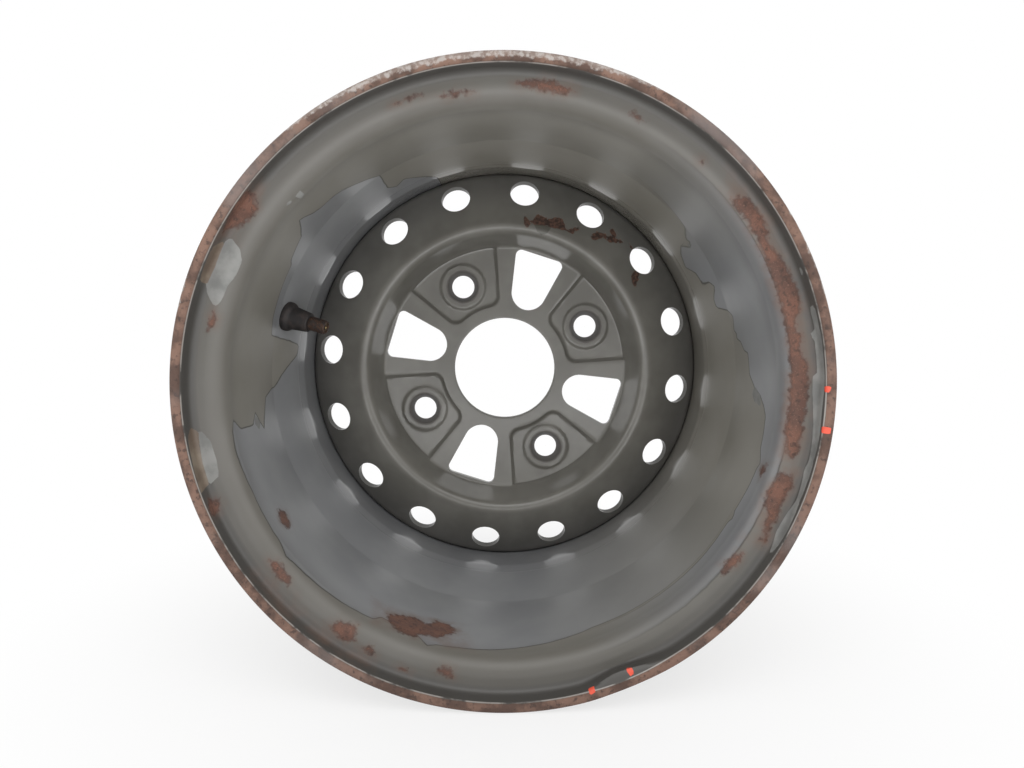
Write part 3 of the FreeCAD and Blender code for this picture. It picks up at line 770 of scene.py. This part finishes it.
def mark_depth(outlines, angle, along, radius):
    """The deepest of several outlines, each drawn as (degrees, millimetres) pairs."""
    depth = np.full(angle.shape, -MARK_MARGIN)
    for outline in outlines:
        middle = (max(a for a, _ in outline) + min(a for a, _ in outline)) / 2
        flat = [(math.radians(a - middle) * radius, d) for a, d in outline]
        across = np.radians((angle - middle + 180) % 360 - 180) * radius
        xs, ys = zip(*flat)
        near = ((across > min(xs) - MARK_MARGIN) & (across < max(xs) + MARK_MARGIN)
                & (along > min(ys) - MARK_MARGIN) & (along < max(ys) + MARK_MARGIN))
        depth[near] = np.maximum(depth[near], inside_by(flat, across[near], along[near]))
    return depth


def store(piece, name, values):
    layer = piece.data.attributes.new(name, "FLOAT", "POINT")
    layer.data.foreach_set("value", values.astype(np.float32))
    print(piece.name, name, "inside at", int((values > 0).sum()), "vertices")


def places(piece):
    """Each vertex's place in millimetres, its angle clockwise from the top, and its run."""
    flat = np.empty(len(piece.data.vertices) * 3, np.float32)
    piece.data.vertices.foreach_get("co", flat)
    spots = flat.reshape(-1, 3).astype(float) / MM
    run = np.empty(len(spots), np.float32)
    piece.data.attributes["run"].data.foreach_get("value", run)
    return spots, np.degrees(np.arctan2(spots[:, 0], spots[:, 2])) % 360, run.astype(float)


# %% [markdown]
# The olive topcoat has come away in two sheets. On the right it left the flank bare down to a ragged
# flap near the well, and at the bottom and left it left the ledge bare up to the valve and beyond.

# %% Peeled paint on the rim
RIGHT_PEEL = [
    (28, 22), (28, 80), (44, 88), (50, 92), (51, 94), (51.5, 99), (53, 100), (53.5, 96), (54.5, 99),
    (55.5, 95), (55, 104), (52.5, 104), (54, 111), (56, 117), (59.5, 119.5), (61, 115), (62, 111),
    (65.5, 110), (65, 103), (65.3, 97), (67, 97), (69.5, 103), (72, 103.5), (72.5, 94), (73.5, 89),
    (74.5, 85), (78, 88), (79, 84), (80, 86), (80.5, 80), (82.5, 76), (83, 70), (88, 69), (91, 60),
    (92, 52), (94, 46), (96, 42), (103, 40), (106, 35), (107.5, 37), (118, 40), (119.5, 37), (121, 40),
    (130, 39), (160, 40), (163, 37), (163, 22),
]
LEFT_PEEL = [
    (110, 42), (118, 43), (121, 42.5), (130, 41.5), (160, 42), (163, 40.5), (170, 38), (180, 35),
    (183, 34), (190, 33), (195, 31), (197, 28.5), (199.5, 35), (204, 37), (208.5, 38), (210, 32),
    (218, 29.5), (231, 27.5), (233, 26.5), (236, 29), (248, 30), (258, 28), (262, 29), (264, 31),
    (261.5, 38), (261, 55), (263.5, 60.5), (259, 69), (263, 75), (266, 79), (267.5, 90), (268, 98),
    (270, 101), (273, 112), (275, 120), (278, 121), (279, 112), (280.5, 92), (281, 86), (285, 83),
    (298.5, 81), (300, 76), (306, 70), (308.5, 57), (309.5, 50), (312, 61), (314, 65), (318.5, 67),
    (321, 72), (326, 84), (328.5, 91), (328, 110), (330, 116), (333, 111), (336, 117), (339, 122),
    (341, 128), (341, 165), (110, 165),
]
# how plainly each sheet's edge shows, by the angle
RIGHT_SHOWN = ((28, 0.0), (62, 1.0), (125, 1.0), (163, 0.0))
LEFT_SHOWN = ((112, 0.0), (175, 1.0))
print("peel points", len(RIGHT_PEEL), len(LEFT_PEEL))

# %% [markdown]
# Rust breaks out where the tyre's bead chafed the flange. Pale flakes are older filler and primer, beige
# ones lie at the left, stains run round the rust, and white crusts sit on the outer half of the lip.

# %% Rust, flakes and crusts on the rim
RUST = [
    [(49, 20), (50, 14.5), (52, 13.5), (57, 14), (60, 17), (62, 16), (66, 14), (70, 13), (74, 14), (75, 17),
     (78, 18), (79, 15), (81, 18), (84, 15.5), (88, 14.5), (92, 15), (97, 15.5), (100, 16), (101, 14.5),
     (103, 18), (102, 21), (98, 23.5), (88, 23), (75, 22.5), (64, 22), (60, 21), (55, 20.5), (51, 21)],
    [(105.5, 20), (106, 15), (108, 13.5), (110, 15), (116, 14), (120, 13.5), (121, 15), (118, 17),
     (115, 18.5), (114, 22), (110, 23.5), (107, 22)],
    [(124, 19), (127, 18), (130.5, 20), (129, 23), (125, 22.5)],
    [(105.5, 28), (107, 27.5), (108.5, 30), (107.5, 33), (106, 32)],
    [(2, 16), (4, 14.5), (9, 14), (13, 16), (12, 18.5), (7, 19), (3, 18)],
    [(23.5, 17), (25, 16), (27, 17.5), (26, 19.5), (24, 19)],
    [(39.5, 17.5), (40.5, 17.5), (40.5, 18.7), (39.5, 18.7)],
    [(191, 51), (192, 45), (195, 38), (199, 36), (200, 32), (203, 30), (205, 34), (207.5, 38), (207, 44),
     (205, 48), (202, 52), (198, 50), (196, 56), (193, 55)],
    [(190, 16), (192, 15), (194, 17), (193, 21), (191, 20)],
    [(206, 15), (208, 14), (209, 17), (207.5, 19)],
    [(211, 16), (213, 14), (217, 16), (216, 22), (212, 23)],
    [(228, 18), (231, 17), (235, 19), (233, 22.5), (229, 21)],
    [(237, 43), (239, 41), (242, 46), (240, 53), (237, 49)],
    [(282, 17), (284, 16), (286.5, 18), (284, 20)],
    [(300, 8), (303, 4), (309, 4), (309, 12), (307, 17), (303, 16)],
    [(339, 17), (342, 16), (345, 17), (342, 18)],
    [(347, 19), (351, 18), (355, 20), (350, 21)],
    [(247, 5), (249, 4), (251, 9), (249.5, 14), (247.5, 11)],
    [(199, 13), (201, 13), (201, 15), (199, 15)],
]
PALE = [
    [(66, 5), (68, 5.5), (68, 9.5), (66.3, 9)],
    [(73, 5), (80, 4.5), (90, 4.5), (105, 5), (121, 5), (121, 9), (117, 12), (113, 11.5), (110, 9.5),
     (104, 11), (102, 10), (95, 11.5), (90, 13), (86.5, 13), (86, 11), (80, 11), (79, 13), (78, 10),
     (74, 10.5)],
    [(288, 19.5), (287, 17.5), (289, 13), (291, 11), (296, 12), (299.5, 12), (300, 14), (299, 19),
     (297, 22), (294, 22), (292, 20.5)],
    [(252.8, 12), (256, 11), (260, 12.5), (263, 12), (263, 14.5), (261, 17.5), (257, 18.3), (254, 17)],
    [(311, 25), (312.5, 25), (312.5, 26.5), (311, 26.5)],
    [(313.5, 26), (315, 25.5), (315, 30), (314, 31)],
    [(319.5, 66), (321.7, 72), (321, 74), (319.8, 69)],
    [(259.5, 62), (261.5, 57), (263, 60.5), (261, 66)],
    [(90.5, 60), (92, 52), (94.5, 50), (94, 60), (92, 65)],
    [(50.5, 95), (51.5, 96), (51, 100), (50.4, 99)],
    [(53.2, 97), (54.4, 100), (55.4, 97), (55, 103), (53.4, 101)],
]
BEIGE = [
    [(252, 4), (258, 4.5), (263, 6), (264, 10), (263, 13), (258, 12), (253, 12)],
    [(291, 5), (297.5, 5), (298, 9), (299, 12), (294, 12.5), (290.5, 12)],
]
STAIN = [
    [(205, 4), (236, 4), (236, 13), (226, 19), (221, 14), (206, 14)],
    [(296, 3), (312, 3), (312, 14), (300, 18)],
    [(44, 12), (60, 12), (104, 12), (122, 12), (122, 25), (104, 26), (60, 24), (44, 22)],
    [(186, 30), (210, 28), (212, 52), (190, 60)],
]
FROST = [
    [(316, -7), (335, -7), (360, -7), (385, -6), (392, -3), (380, 0.5), (360, 1.2), (340, 1.0), (325, 0),
     (318, -2)],
    [(52, -7), (76, -7), (78, -2), (66, -1), (54, -2)],
    [(283, -7), (292, -7), (291, -1.5), (285, -1)],
    [(262, -6), (268, -6), (267, -2), (263, -2)],
]
print("outlines", len(RUST) + len(PALE) + len(BEIGE) + len(STAIN) + len(FROST))

# %% [markdown]
# Four dabs of red marker show bent places. With them, all the outlines become numbers on the vertices.

# %% Store the rim's marks
# each dab: its angle, and the run where it starts and ends
DABS = ((88.7, 0.5, 5.0), (96.0, -1.0, 4.5), (155.6, 1.5, 8.0), (163.6, 1.0, 6.0))
DAB_WIDTH, DAB_TAPER = 1.15, 1


def dab_outline(angle, low, high):
    left, right = angle - DAB_WIDTH / 2, angle + DAB_WIDTH / 2
    return [(left, low + DAB_TAPER), (angle, low), (right, low + DAB_TAPER), (right, high - DAB_TAPER),
            (angle, high), (left, high - DAB_TAPER)]


marks = {"right_peel": [RIGHT_PEEL], "left_peel": [LEFT_PEEL], "rust": RUST, "pale": PALE, "beige": BEIGE,
         "stain": STAIN, "frost": FROST, "dab": [dab_outline(*dab) for dab in DABS]}
rim_spots, rim_angle, rim_run = places(rim)
for name, outlines in marks.items():
    store(rim, name, mark_depth(outlines, rim_angle, rim_run, UNROLL_RADIUS))
rim_radius, from_middle = np.hypot(rim_spots[:, 0], rim_spots[:, 2]), np.abs(rim_spots[:, 1])
store(rim, "from_lip", np.hypot(rim_radius - LIP_RADIUS + LIP_ROUND, from_middle - TIP_Y))
store(rim, "tyre_side", np.where(rim_run < 0, from_middle, 0))
for name, shares in (("right_shown", RIGHT_SHOWN), ("left_shown", LEFT_SHOWN)):
    store(rim, name, np.interp(rim_angle, *zip(*shares)))

# %% [markdown]
# ## Rim paint
# From below to above: a smooth blue-grey coat, an olive-grey topcoat with a painted shadow line along its
# thick edge, rust that breaks through both, flakes, and a bare rusty lip that no paint survived on.

# %% Rim finish
BLOTCH = (0.35, 0.65)
EDGE_SOFT, EDGE_RAGGED = 0.2, 0.45
EDGE_SHADOW_WIDTH = (0.2, 1.0)
BEND_SHADE_REACH, CURL_SHADE_REACH, LIP_FRONT = (16, 44), (12, 18), (-1, 2)
CHAFE_REACH = (BEAD_Y - 24, BEAD_Y - 6)
paint = Finish("rim_old_paint")
broad = paint.mottle(55)
patchy = paint.mottle(11, detail=5)
fine = paint.mottle(2.2, detail=5)
speck = paint.mottle(0.7, detail=2)
ragged = (paint.mottle(5, detail=5) - 0.5) * 2.2
along = paint.layer("run")


def peeled(side):
    """Where one sheet of topcoat is gone, and the painted shadow line along its edge."""
    edge = paint.layer(side + "_peel") + ragged * EDGE_RAGGED
    shown = paint.layer(side + "_shown")
    return edge.rise(-EDGE_SOFT, EDGE_SOFT) * shown, (1 - edge.size().rise(*EDGE_SHADOW_WIDTH)) * shown


right_bare, right_edge_shadow = peeled("right")
left_bare, left_edge_shadow = peeled("left")
bare = right_bare.larger(left_bare)
# Painted shadow: a dark line along the topcoat's edge stands for the shade that the edge throws.
edge_shadow = right_edge_shadow.larger(left_edge_shadow) * (1 - bare)
olive = paint.blend(tint(121, 118, 110), tint(131, 128, 121), broad.rise(*BLOTCH))
blue = paint.blend(tint(127, 128, 130), tint(136, 137, 138), paint.mottle(38).rise(0.35, 0.7))
# Painted shade: darker paint in the curl behind the lip and on the bend below it, where shade falls.
bend_shade, curl_shade = (1 - along.rise(*BEND_SHADE_REACH)) * 0.62, (1 - along.rise(*CURL_SHADE_REACH)) * 0.9
painted_lip_shade = bend_shade.larger(curl_shade) * along.rise(*LIP_FRONT)
chafe = paint.layer("tyre_side").rise(*CHAFE_REACH) * patchy.rise(0.42, 0.6)
stain = (paint.layer("stain") + ragged * 2).rise(-3, 4) * patchy.rise(0.3, 0.75)
coat = paint.coats(
    olive, (blue, bare), (tint(48, 46, 44), edge_shadow * 0.85),
    (tint(134, 131, 124), speck.rise(0.72, 0.78) * patchy.rise(0.45, 0.6) * 0.5),
    (tint(62, 60, 58), painted_lip_shade), (tint(102, 78, 66), chafe * 0.75), (tint(106, 84, 72), stain * 0.55))
print("rim coats", len(paint.tree.nodes), "nodes")

# %% [markdown]
# Flakes sit on the coat with a crisp edge. Rust has no clean edge: its outline is broken up twice, by a
# coarse and a fine noise, and three sizes of blotch mix its browns.

# %% Flakes and rust
pale = (paint.layer("pale") + ragged * 0.35).rise(-0.15, 0.15)
pale_tone = paint.blend(tint(110, 110, 108), tint(134, 134, 131), patchy.rise(*BLOTCH))
beige = (paint.layer("beige") + ragged * 0.5).rise(-0.2, 0.2)
beige_tone = paint.blend(tint(98, 84, 72), tint(124, 112, 98), patchy.rise(*BLOTCH))
halo = (paint.layer("rust") + ragged * 2.5).rise(-4.5, 0.5) * patchy.rise(*BLOTCH)
rust_depth = paint.layer("rust") + ragged * 1.6 + (fine - 0.5) * 5.0
rust = rust_depth.rise(-1.0, 1.2)
rust_rim = 1 - (rust_depth - 0.5).size().rise(0.2, 1.1)
rust_tone = paint.coats(
    tint(90, 62, 52), (tint(112, 77, 63), patchy.rise(0.4, 0.62)),
    (tint(60, 44, 39), fine.rise(0.5, 0.7) * 0.8), (tint(130, 99, 83), speck.rise(0.58, 0.7) * 0.5),
    (tint(60, 46, 41), rust_rim * 0.45))
coat = paint.coats(
    coat, (pale_tone, pale), (beige_tone, beige), (tint(98, 80, 70), halo * 0.5), (rust_tone, rust * 0.92))
print("flakes and rust", len(paint.tree.nodes), "nodes")

# %% [markdown]
# No paint is left on the lip. It is brown and pitted, paler where it was scraped, with a painted highlight
# line along its inner edge and crusts of white corrosion at the top.

# %% Lip and marker dabs
LIP_REACH = 2.9
WELL_START, WELL_FADE = (116, 130), (150, 165)
from_lip = paint.layer("from_lip")
lip = (LIP_REACH - from_lip + ragged * 0.4).rise(-0.2, 0.3)
lip_tone = paint.coats(
    tint(82, 62, 53), (tint(120, 93, 80), patchy.rise(0.4, 0.6)),
    (tint(58, 45, 40), fine.rise(0.53, 0.68) * 0.75), (tint(118, 112, 110), broad.rise(0.55, 0.7) * 0.5))
frost = (paint.layer("frost") + ragged * 1.6 + (fine - 0.5) * 3).rise(-0.5, 0.8)
frost_tone = paint.blend(tint(132, 118, 110), tint(178, 172, 167), fine.rise(0.4, 0.62))
# Painted highlight: a thin bright line just inside the lip's front, where its edge catches the light.
lip_edge_highlight = (1 - (from_lip - LIP_REACH - 0.25).size().rise(0.1, 0.4)) * patchy.rise(0.36, 0.5)
dab = (paint.layer("dab") + ragged * 0.25).rise(-0.1, 0.1)
coat = paint.coats(
    coat, (lip_tone, lip), (frost_tone, frost * 0.75), (tint(176, 170, 164), lip_edge_highlight * 0.7),
    (tint(226, 84, 60), dab))
worn = rust.larger(lip) * (1 - dab)
in_well = along.rise(*WELL_START) * (1 - along.rise(*WELL_FADE))
painted = (0.42 - bare * 0.1) * (1 - in_well * 0.65) + pale * 0.15 + broad * 0.06
gloss = painted * (1 - worn) + worn * 0.78
relief = (1 - bare.rise(0.55, 0.95)) * 0.12 + pale * 0.08 + (fine - 0.5) * worn * 0.5 + speck * 0.012
paint.finish_with(relief=relief, Base_Color=coat, Roughness=gloss)
rim.data.materials.append(paint.material)

# %% [markdown]
# ## Disc paint
# The disc keeps its olive-grey paint, with painted shade towards the vents, and a row of brown chips near
# the top where stones hit the crest. The chips are outlines again, by their angle and distance from the
# axle.

# %% Chips on the disc
CHIP_RADIUS, SCUFF_RADIUS = 90.0, 85.0
CHIPS = [
    [(10, 87), (12, 86.2), (18, 87), (24, 88.2), (26.5, 88), (27, 91), (28.5, 94.5), (27, 94), (25.5, 91),
     (23, 89), (22.5, 92), (20.5, 94.5), (18, 93), (16, 91), (14, 91.5), (12, 92.5), (11, 90)],
    [(32.5, 92), (34.5, 91.5), (36, 95), (37, 99), (34.5, 98), (33, 95)],
    [(37, 97), (39.5, 96.5), (41.5, 99), (43.5, 102.5), (42, 102.5), (40, 100), (39.5, 103), (37.5, 104.5),
     (36.5, 102.5), (38.5, 100.5)],
    [(44, 104.5), (46, 102.5), (47, 103.5), (45.5, 105)],
    [(52.5, 97), (53, 92), (55, 90), (57.5, 90.5), (56, 94), (54.5, 98)],
    [(7.8, 84), (9.3, 83), (10, 86), (8, 90), (7, 92), (6.7, 90)],
]
SCUFF = [[(11, 87), (13, 82.5), (15, 81), (17, 83), (18.3, 87)]]
disc_spots, disc_angle, disc_run = places(disc)
disc_x, disc_z = disc_spots[:, 0], disc_spots[:, 2]
front = np.where(disc_run >= 0, np.hypot(disc_x, disc_z), 0)
store(disc, "chip", mark_depth(CHIPS, disc_angle, front, CHIP_RADIUS))
store(disc, "scuff", mark_depth(SCUFF, disc_angle, front, SCUFF_RADIUS))
store(disc, "from_axle", front)
store(disc, "from_lug", np.min([np.hypot(disc_x - lug.x, disc_z - lug.z) for lug in lugs], axis=0))

# %% [markdown]
# Nuts have ground a dark ring round each lug hole, and painted shade darkens the cone towards the vents.

# %% Disc finish
EDGE_SHADE_REACH = (86, 113)
NUT_MARK, NUT_FADE = (6.0, 7.0), (9.0, 11.0)
CHIP_SOFT = 0.3
skin = Finish("disc_old_paint")
soft = skin.mottle(30)
grain = skin.mottle(2.0, detail=5)
frayed = (skin.mottle(4, detail=5) - 0.5) * 2.0
# Painted shade: the cone darkens towards its deep edge by the well.
edge_shade = skin.layer("from_axle").rise(*EDGE_SHADE_REACH)
from_lug = skin.layer("from_lug") + frayed * 0.6
nut_mark = from_lug.rise(*NUT_MARK) * (1 - from_lug.rise(*NUT_FADE))
scuff = (skin.layer("scuff") + frayed).rise(-CHIP_SOFT, CHIP_SOFT)
chip = (skin.layer("chip") + frayed + (grain - 0.5) * 2).rise(-CHIP_SOFT, CHIP_SOFT)
chip_tone = skin.blend(tint(58, 44, 38), tint(98, 72, 60), grain.rise(0.4, 0.65))
disc_coat = skin.coats(
    tint(109, 107, 101), (tint(121, 119, 113), soft.rise(*BLOTCH)), (tint(52, 52, 57), edge_shade * 0.4),
    (tint(54, 47, 43), nut_mark * 0.75), (tint(84, 82, 75), scuff * 0.8), (chip_tone, chip))
disc_gloss = 0.2 + soft * 0.08 + chip * 0.4 + nut_mark * 0.3
disc_relief = (1 - chip) * 0.1 + (grain - 0.5) * chip * 0.3 + skin.mottle(0.9) * 0.012
skin.finish_with(relief=disc_relief, Base_Color=disc_coat, Roughness=disc_gloss)
disc.data.materials.append(skin.material)

# %% [markdown]
# The weld runs were painted with the rest, and rust has started to come through.

# %% Weld finish
weld_paint = Finish("weld_paint", Roughness=0.5)
weld_tone = weld_paint.blend(tint(88, 86, 82), tint(112, 92, 80), weld_paint.mottle(6).rise(0.5, 0.7))
weld_paint.finish_with(relief=weld_paint.mottle(1.2) * 0.1, Base_Color=weld_tone)
weld.data.materials.append(weld_paint.material)

# %% [markdown]
# ## Valve finishes
# The rubber is dusty black with a brown bloom. The brass is dull and brown where it was out in the dirt.

# %% Rubber and brass
black = Finish("valve_black_rubber")
dust = black.mottle(3, detail=5)
rubber_tone = black.blend(tint(34, 31, 31), tint(58, 50, 48), dust.rise(0.4, 0.75))
black.finish_with(relief=black.mottle(0.8) * 0.05, Base_Color=rubber_tone, Roughness=0.5 + dust * 0.3)
rubber.data.materials.append(black.material)
brass = Finish("valve_dirty_brass")
grime = brass.mottle(1.6, detail=5)
dirty = grime.rise(0.35, 0.6)
brass.finish_with(relief=brass.mottle(0.5) * 0.03, Roughness=0.4 + grime * 0.35, Metallic=0.6 - dirty * 0.6,
                  Base_Color=brass.blend(tint(88, 67, 55), tint(46, 37, 34), dirty))
stem.data.materials.append(brass.material)

# %% [markdown]
# The core's pieces keep their CAD meshes, and one function with two tones dresses them all.

# %% Core
CORE_GRAIN = 1.0
BRASS = (tint(196, 158, 96), tint(150, 116, 70))


def dress(piece, name, tones, metallic, rough):
    """A speckled finish for a small piece of the core."""
    look = Finish(name, Metallic=metallic)
    spots = look.mottle(CORE_GRAIN, detail=4)
    look.finish_with(relief=spots * 0.01, Base_Color=look.blend(*tones, spots.rise(0.4, 0.65)),
                     Roughness=rough + spots * 0.2)
    piece.data.materials.clear()
    piece.data.materials.append(look.material)


core = frame["nodes"]
dress(core["core_plug"], "core_plug_brass", (tint(104, 82, 58), tint(56, 46, 39)), 0.8, 0.4)
dress(core["core_barrel"], "core_barrel_brass", BRASS, 1.0, 0.25)
dress(core["core_pin"], "core_pin_brass", (tint(214, 186, 128), tint(170, 136, 84)), 1.0, 0.2)
dress(core["pin_cup"], "pin_cup_brass", BRASS, 1.0, 0.25)
dress(core["core_gasket"], "core_gasket_red", (tint(176, 58, 44), tint(140, 44, 36)), 0.0, 0.5)
dress(core["pin_seal"], "pin_seal_rubber", (tint(38, 37, 36), tint(58, 56, 54)), 0.0, 0.6)
dress(spring, "core_spring_steel", (tint(180, 180, 182), tint(140, 140, 142)), 1.0, 0.3)

# %% [markdown]
# ## Table, light and camera
# The wheel stands on a white table in a white room. To the camera and in reflections the table glows
# white. Only near the wheel does the camera see part of the plain surface, with the wheel's shadow on it.

# %% Stage
TABLE_WHITE = (0.92, 0.92, 0.92, 1)
SHADOW_SHARE = 0.38
SHADOW_REACH = (0.1, 0.34)
FLOOR_SIZE = 8.0
floor_bm = bmesh.new()
bmesh.ops.create_grid(floor_bm, x_segments=1, y_segments=1, size=FLOOR_SIZE / 2)
floor_mesh = to_mesh("table_top", floor_bm)
floor_mesh.transform(Matrix.Translation((0, 0, cad_box[0].z)))
floor = link("table_top", floor_mesh)
table = Finish("white_table", Base_Color=TABLE_WHITE, Roughness=1.0, Specular_IOR_Level=0.0)
from_wheel = table.node("ShaderNodeVectorMath", {"operation": "LENGTH"}, {0: table.place}, "Value")
shadow_share = SHADOW_SHARE * (1 - from_wheel.rise(*SHADOW_REACH))
seen = table.node("ShaderNodeLightPath", {}, {}, "Is Camera Ray") * (1 - shadow_share)
white = seen.larger(table.node("ShaderNodeLightPath", {}, {}, "Is Glossy Ray"))
glow = table.node("ShaderNodeEmission", {}, {"Strength": 1.0})
plain = Value(table, table.shader.outputs[0])
surface = table.node("ShaderNodeMixShader", {}, {0: white, 1: plain, 2: glow})
table.feed(table.tree.nodes["Material Output"].inputs["Surface"], surface)
floor_mesh.materials.append(table.material)
print("table", len(table.tree.nodes), "nodes")

# %% [markdown]
# The camera and reflections see the room in full white, but it lights the wheel less, so that the paint
# keeps its own colour.

# %% Room
ROOM_LIGHT = 0.55
world = bpy.data.worlds.new("white_room")
bpy.context.scene.world = world
world.use_nodes = True
room = Nodes(world.node_tree)
in_view = room.node("ShaderNodeLightPath", {}, {}, "Is Camera Ray").larger(
    room.node("ShaderNodeLightPath", {}, {}, "Is Glossy Ray"))
sky = world.node_tree.nodes["Background"]
sky.inputs["Color"].default_value = (1, 1, 1, 1)
room.feed(sky.inputs["Strength"], ROOM_LIGHT + in_view * (1 - ROOM_LIGHT))
print("room light", ROOM_LIGHT)

# %% [markdown]
# The camera stands close to the wheel and a little above its axle, which is why the deep side opens so
# wide. Its place, direction and lens were fitted to the photo.

# %% Camera
CAMERA_AT = Vector((0.48, -429.42, 42.54)) * MM
LOOK = Vector((0.00828, 0.99395, -0.10956))
LENS = 27.56
CLIP_START = 0.01
camera = bpy.data.cameras.new("camera")
camera.lens = LENS
camera.clip_start = CLIP_START
viewer = link("camera", camera)
viewer.location = CAMERA_AT
viewer.rotation_euler = LOOK.to_track_quat("-Z", "Y").to_euler()
bpy.context.scene.camera = viewer
bpy.context.scene.view_settings.view_transform = "Standard"
print("camera at", CAMERA_AT, "lens", LENS)

# %% [markdown]
# Large lamps at the sides and above give the soft highlights of a bright room. The lowest one stands for
# the light that the table throws back.

# %% Lamps
def soft_box(name, place, width, height, power, aim=(0, 0, 0)):
    """A large plain area lamp that faces the wheel."""
    lamp = bpy.data.lights.new(name, "AREA")
    lamp.shape = "RECTANGLE"
    lamp.size, lamp.size_y = width, height
    lamp.energy = power
    box = link(name, lamp)
    box.location = place
    box.rotation_euler = (Vector(aim) - box.location).to_track_quat("-Z", "Y").to_euler()
    box.visible_camera = False
    print(name, power, "W")


soft_box("left_box", (-1.3, -0.8, 0.25), 0.9, 1.2, 6.5)
soft_box("right_box", (1.3, -0.8, 0.25), 0.9, 1.2, 6.0)
soft_box("top_box", (0, -0.9, 1.1), 1.4, 0.8, 8.0)
soft_box("table_glow", (0, -0.55, -0.14), 0.9, 0.5, 6.0, aim=(0, -0.5, 1))
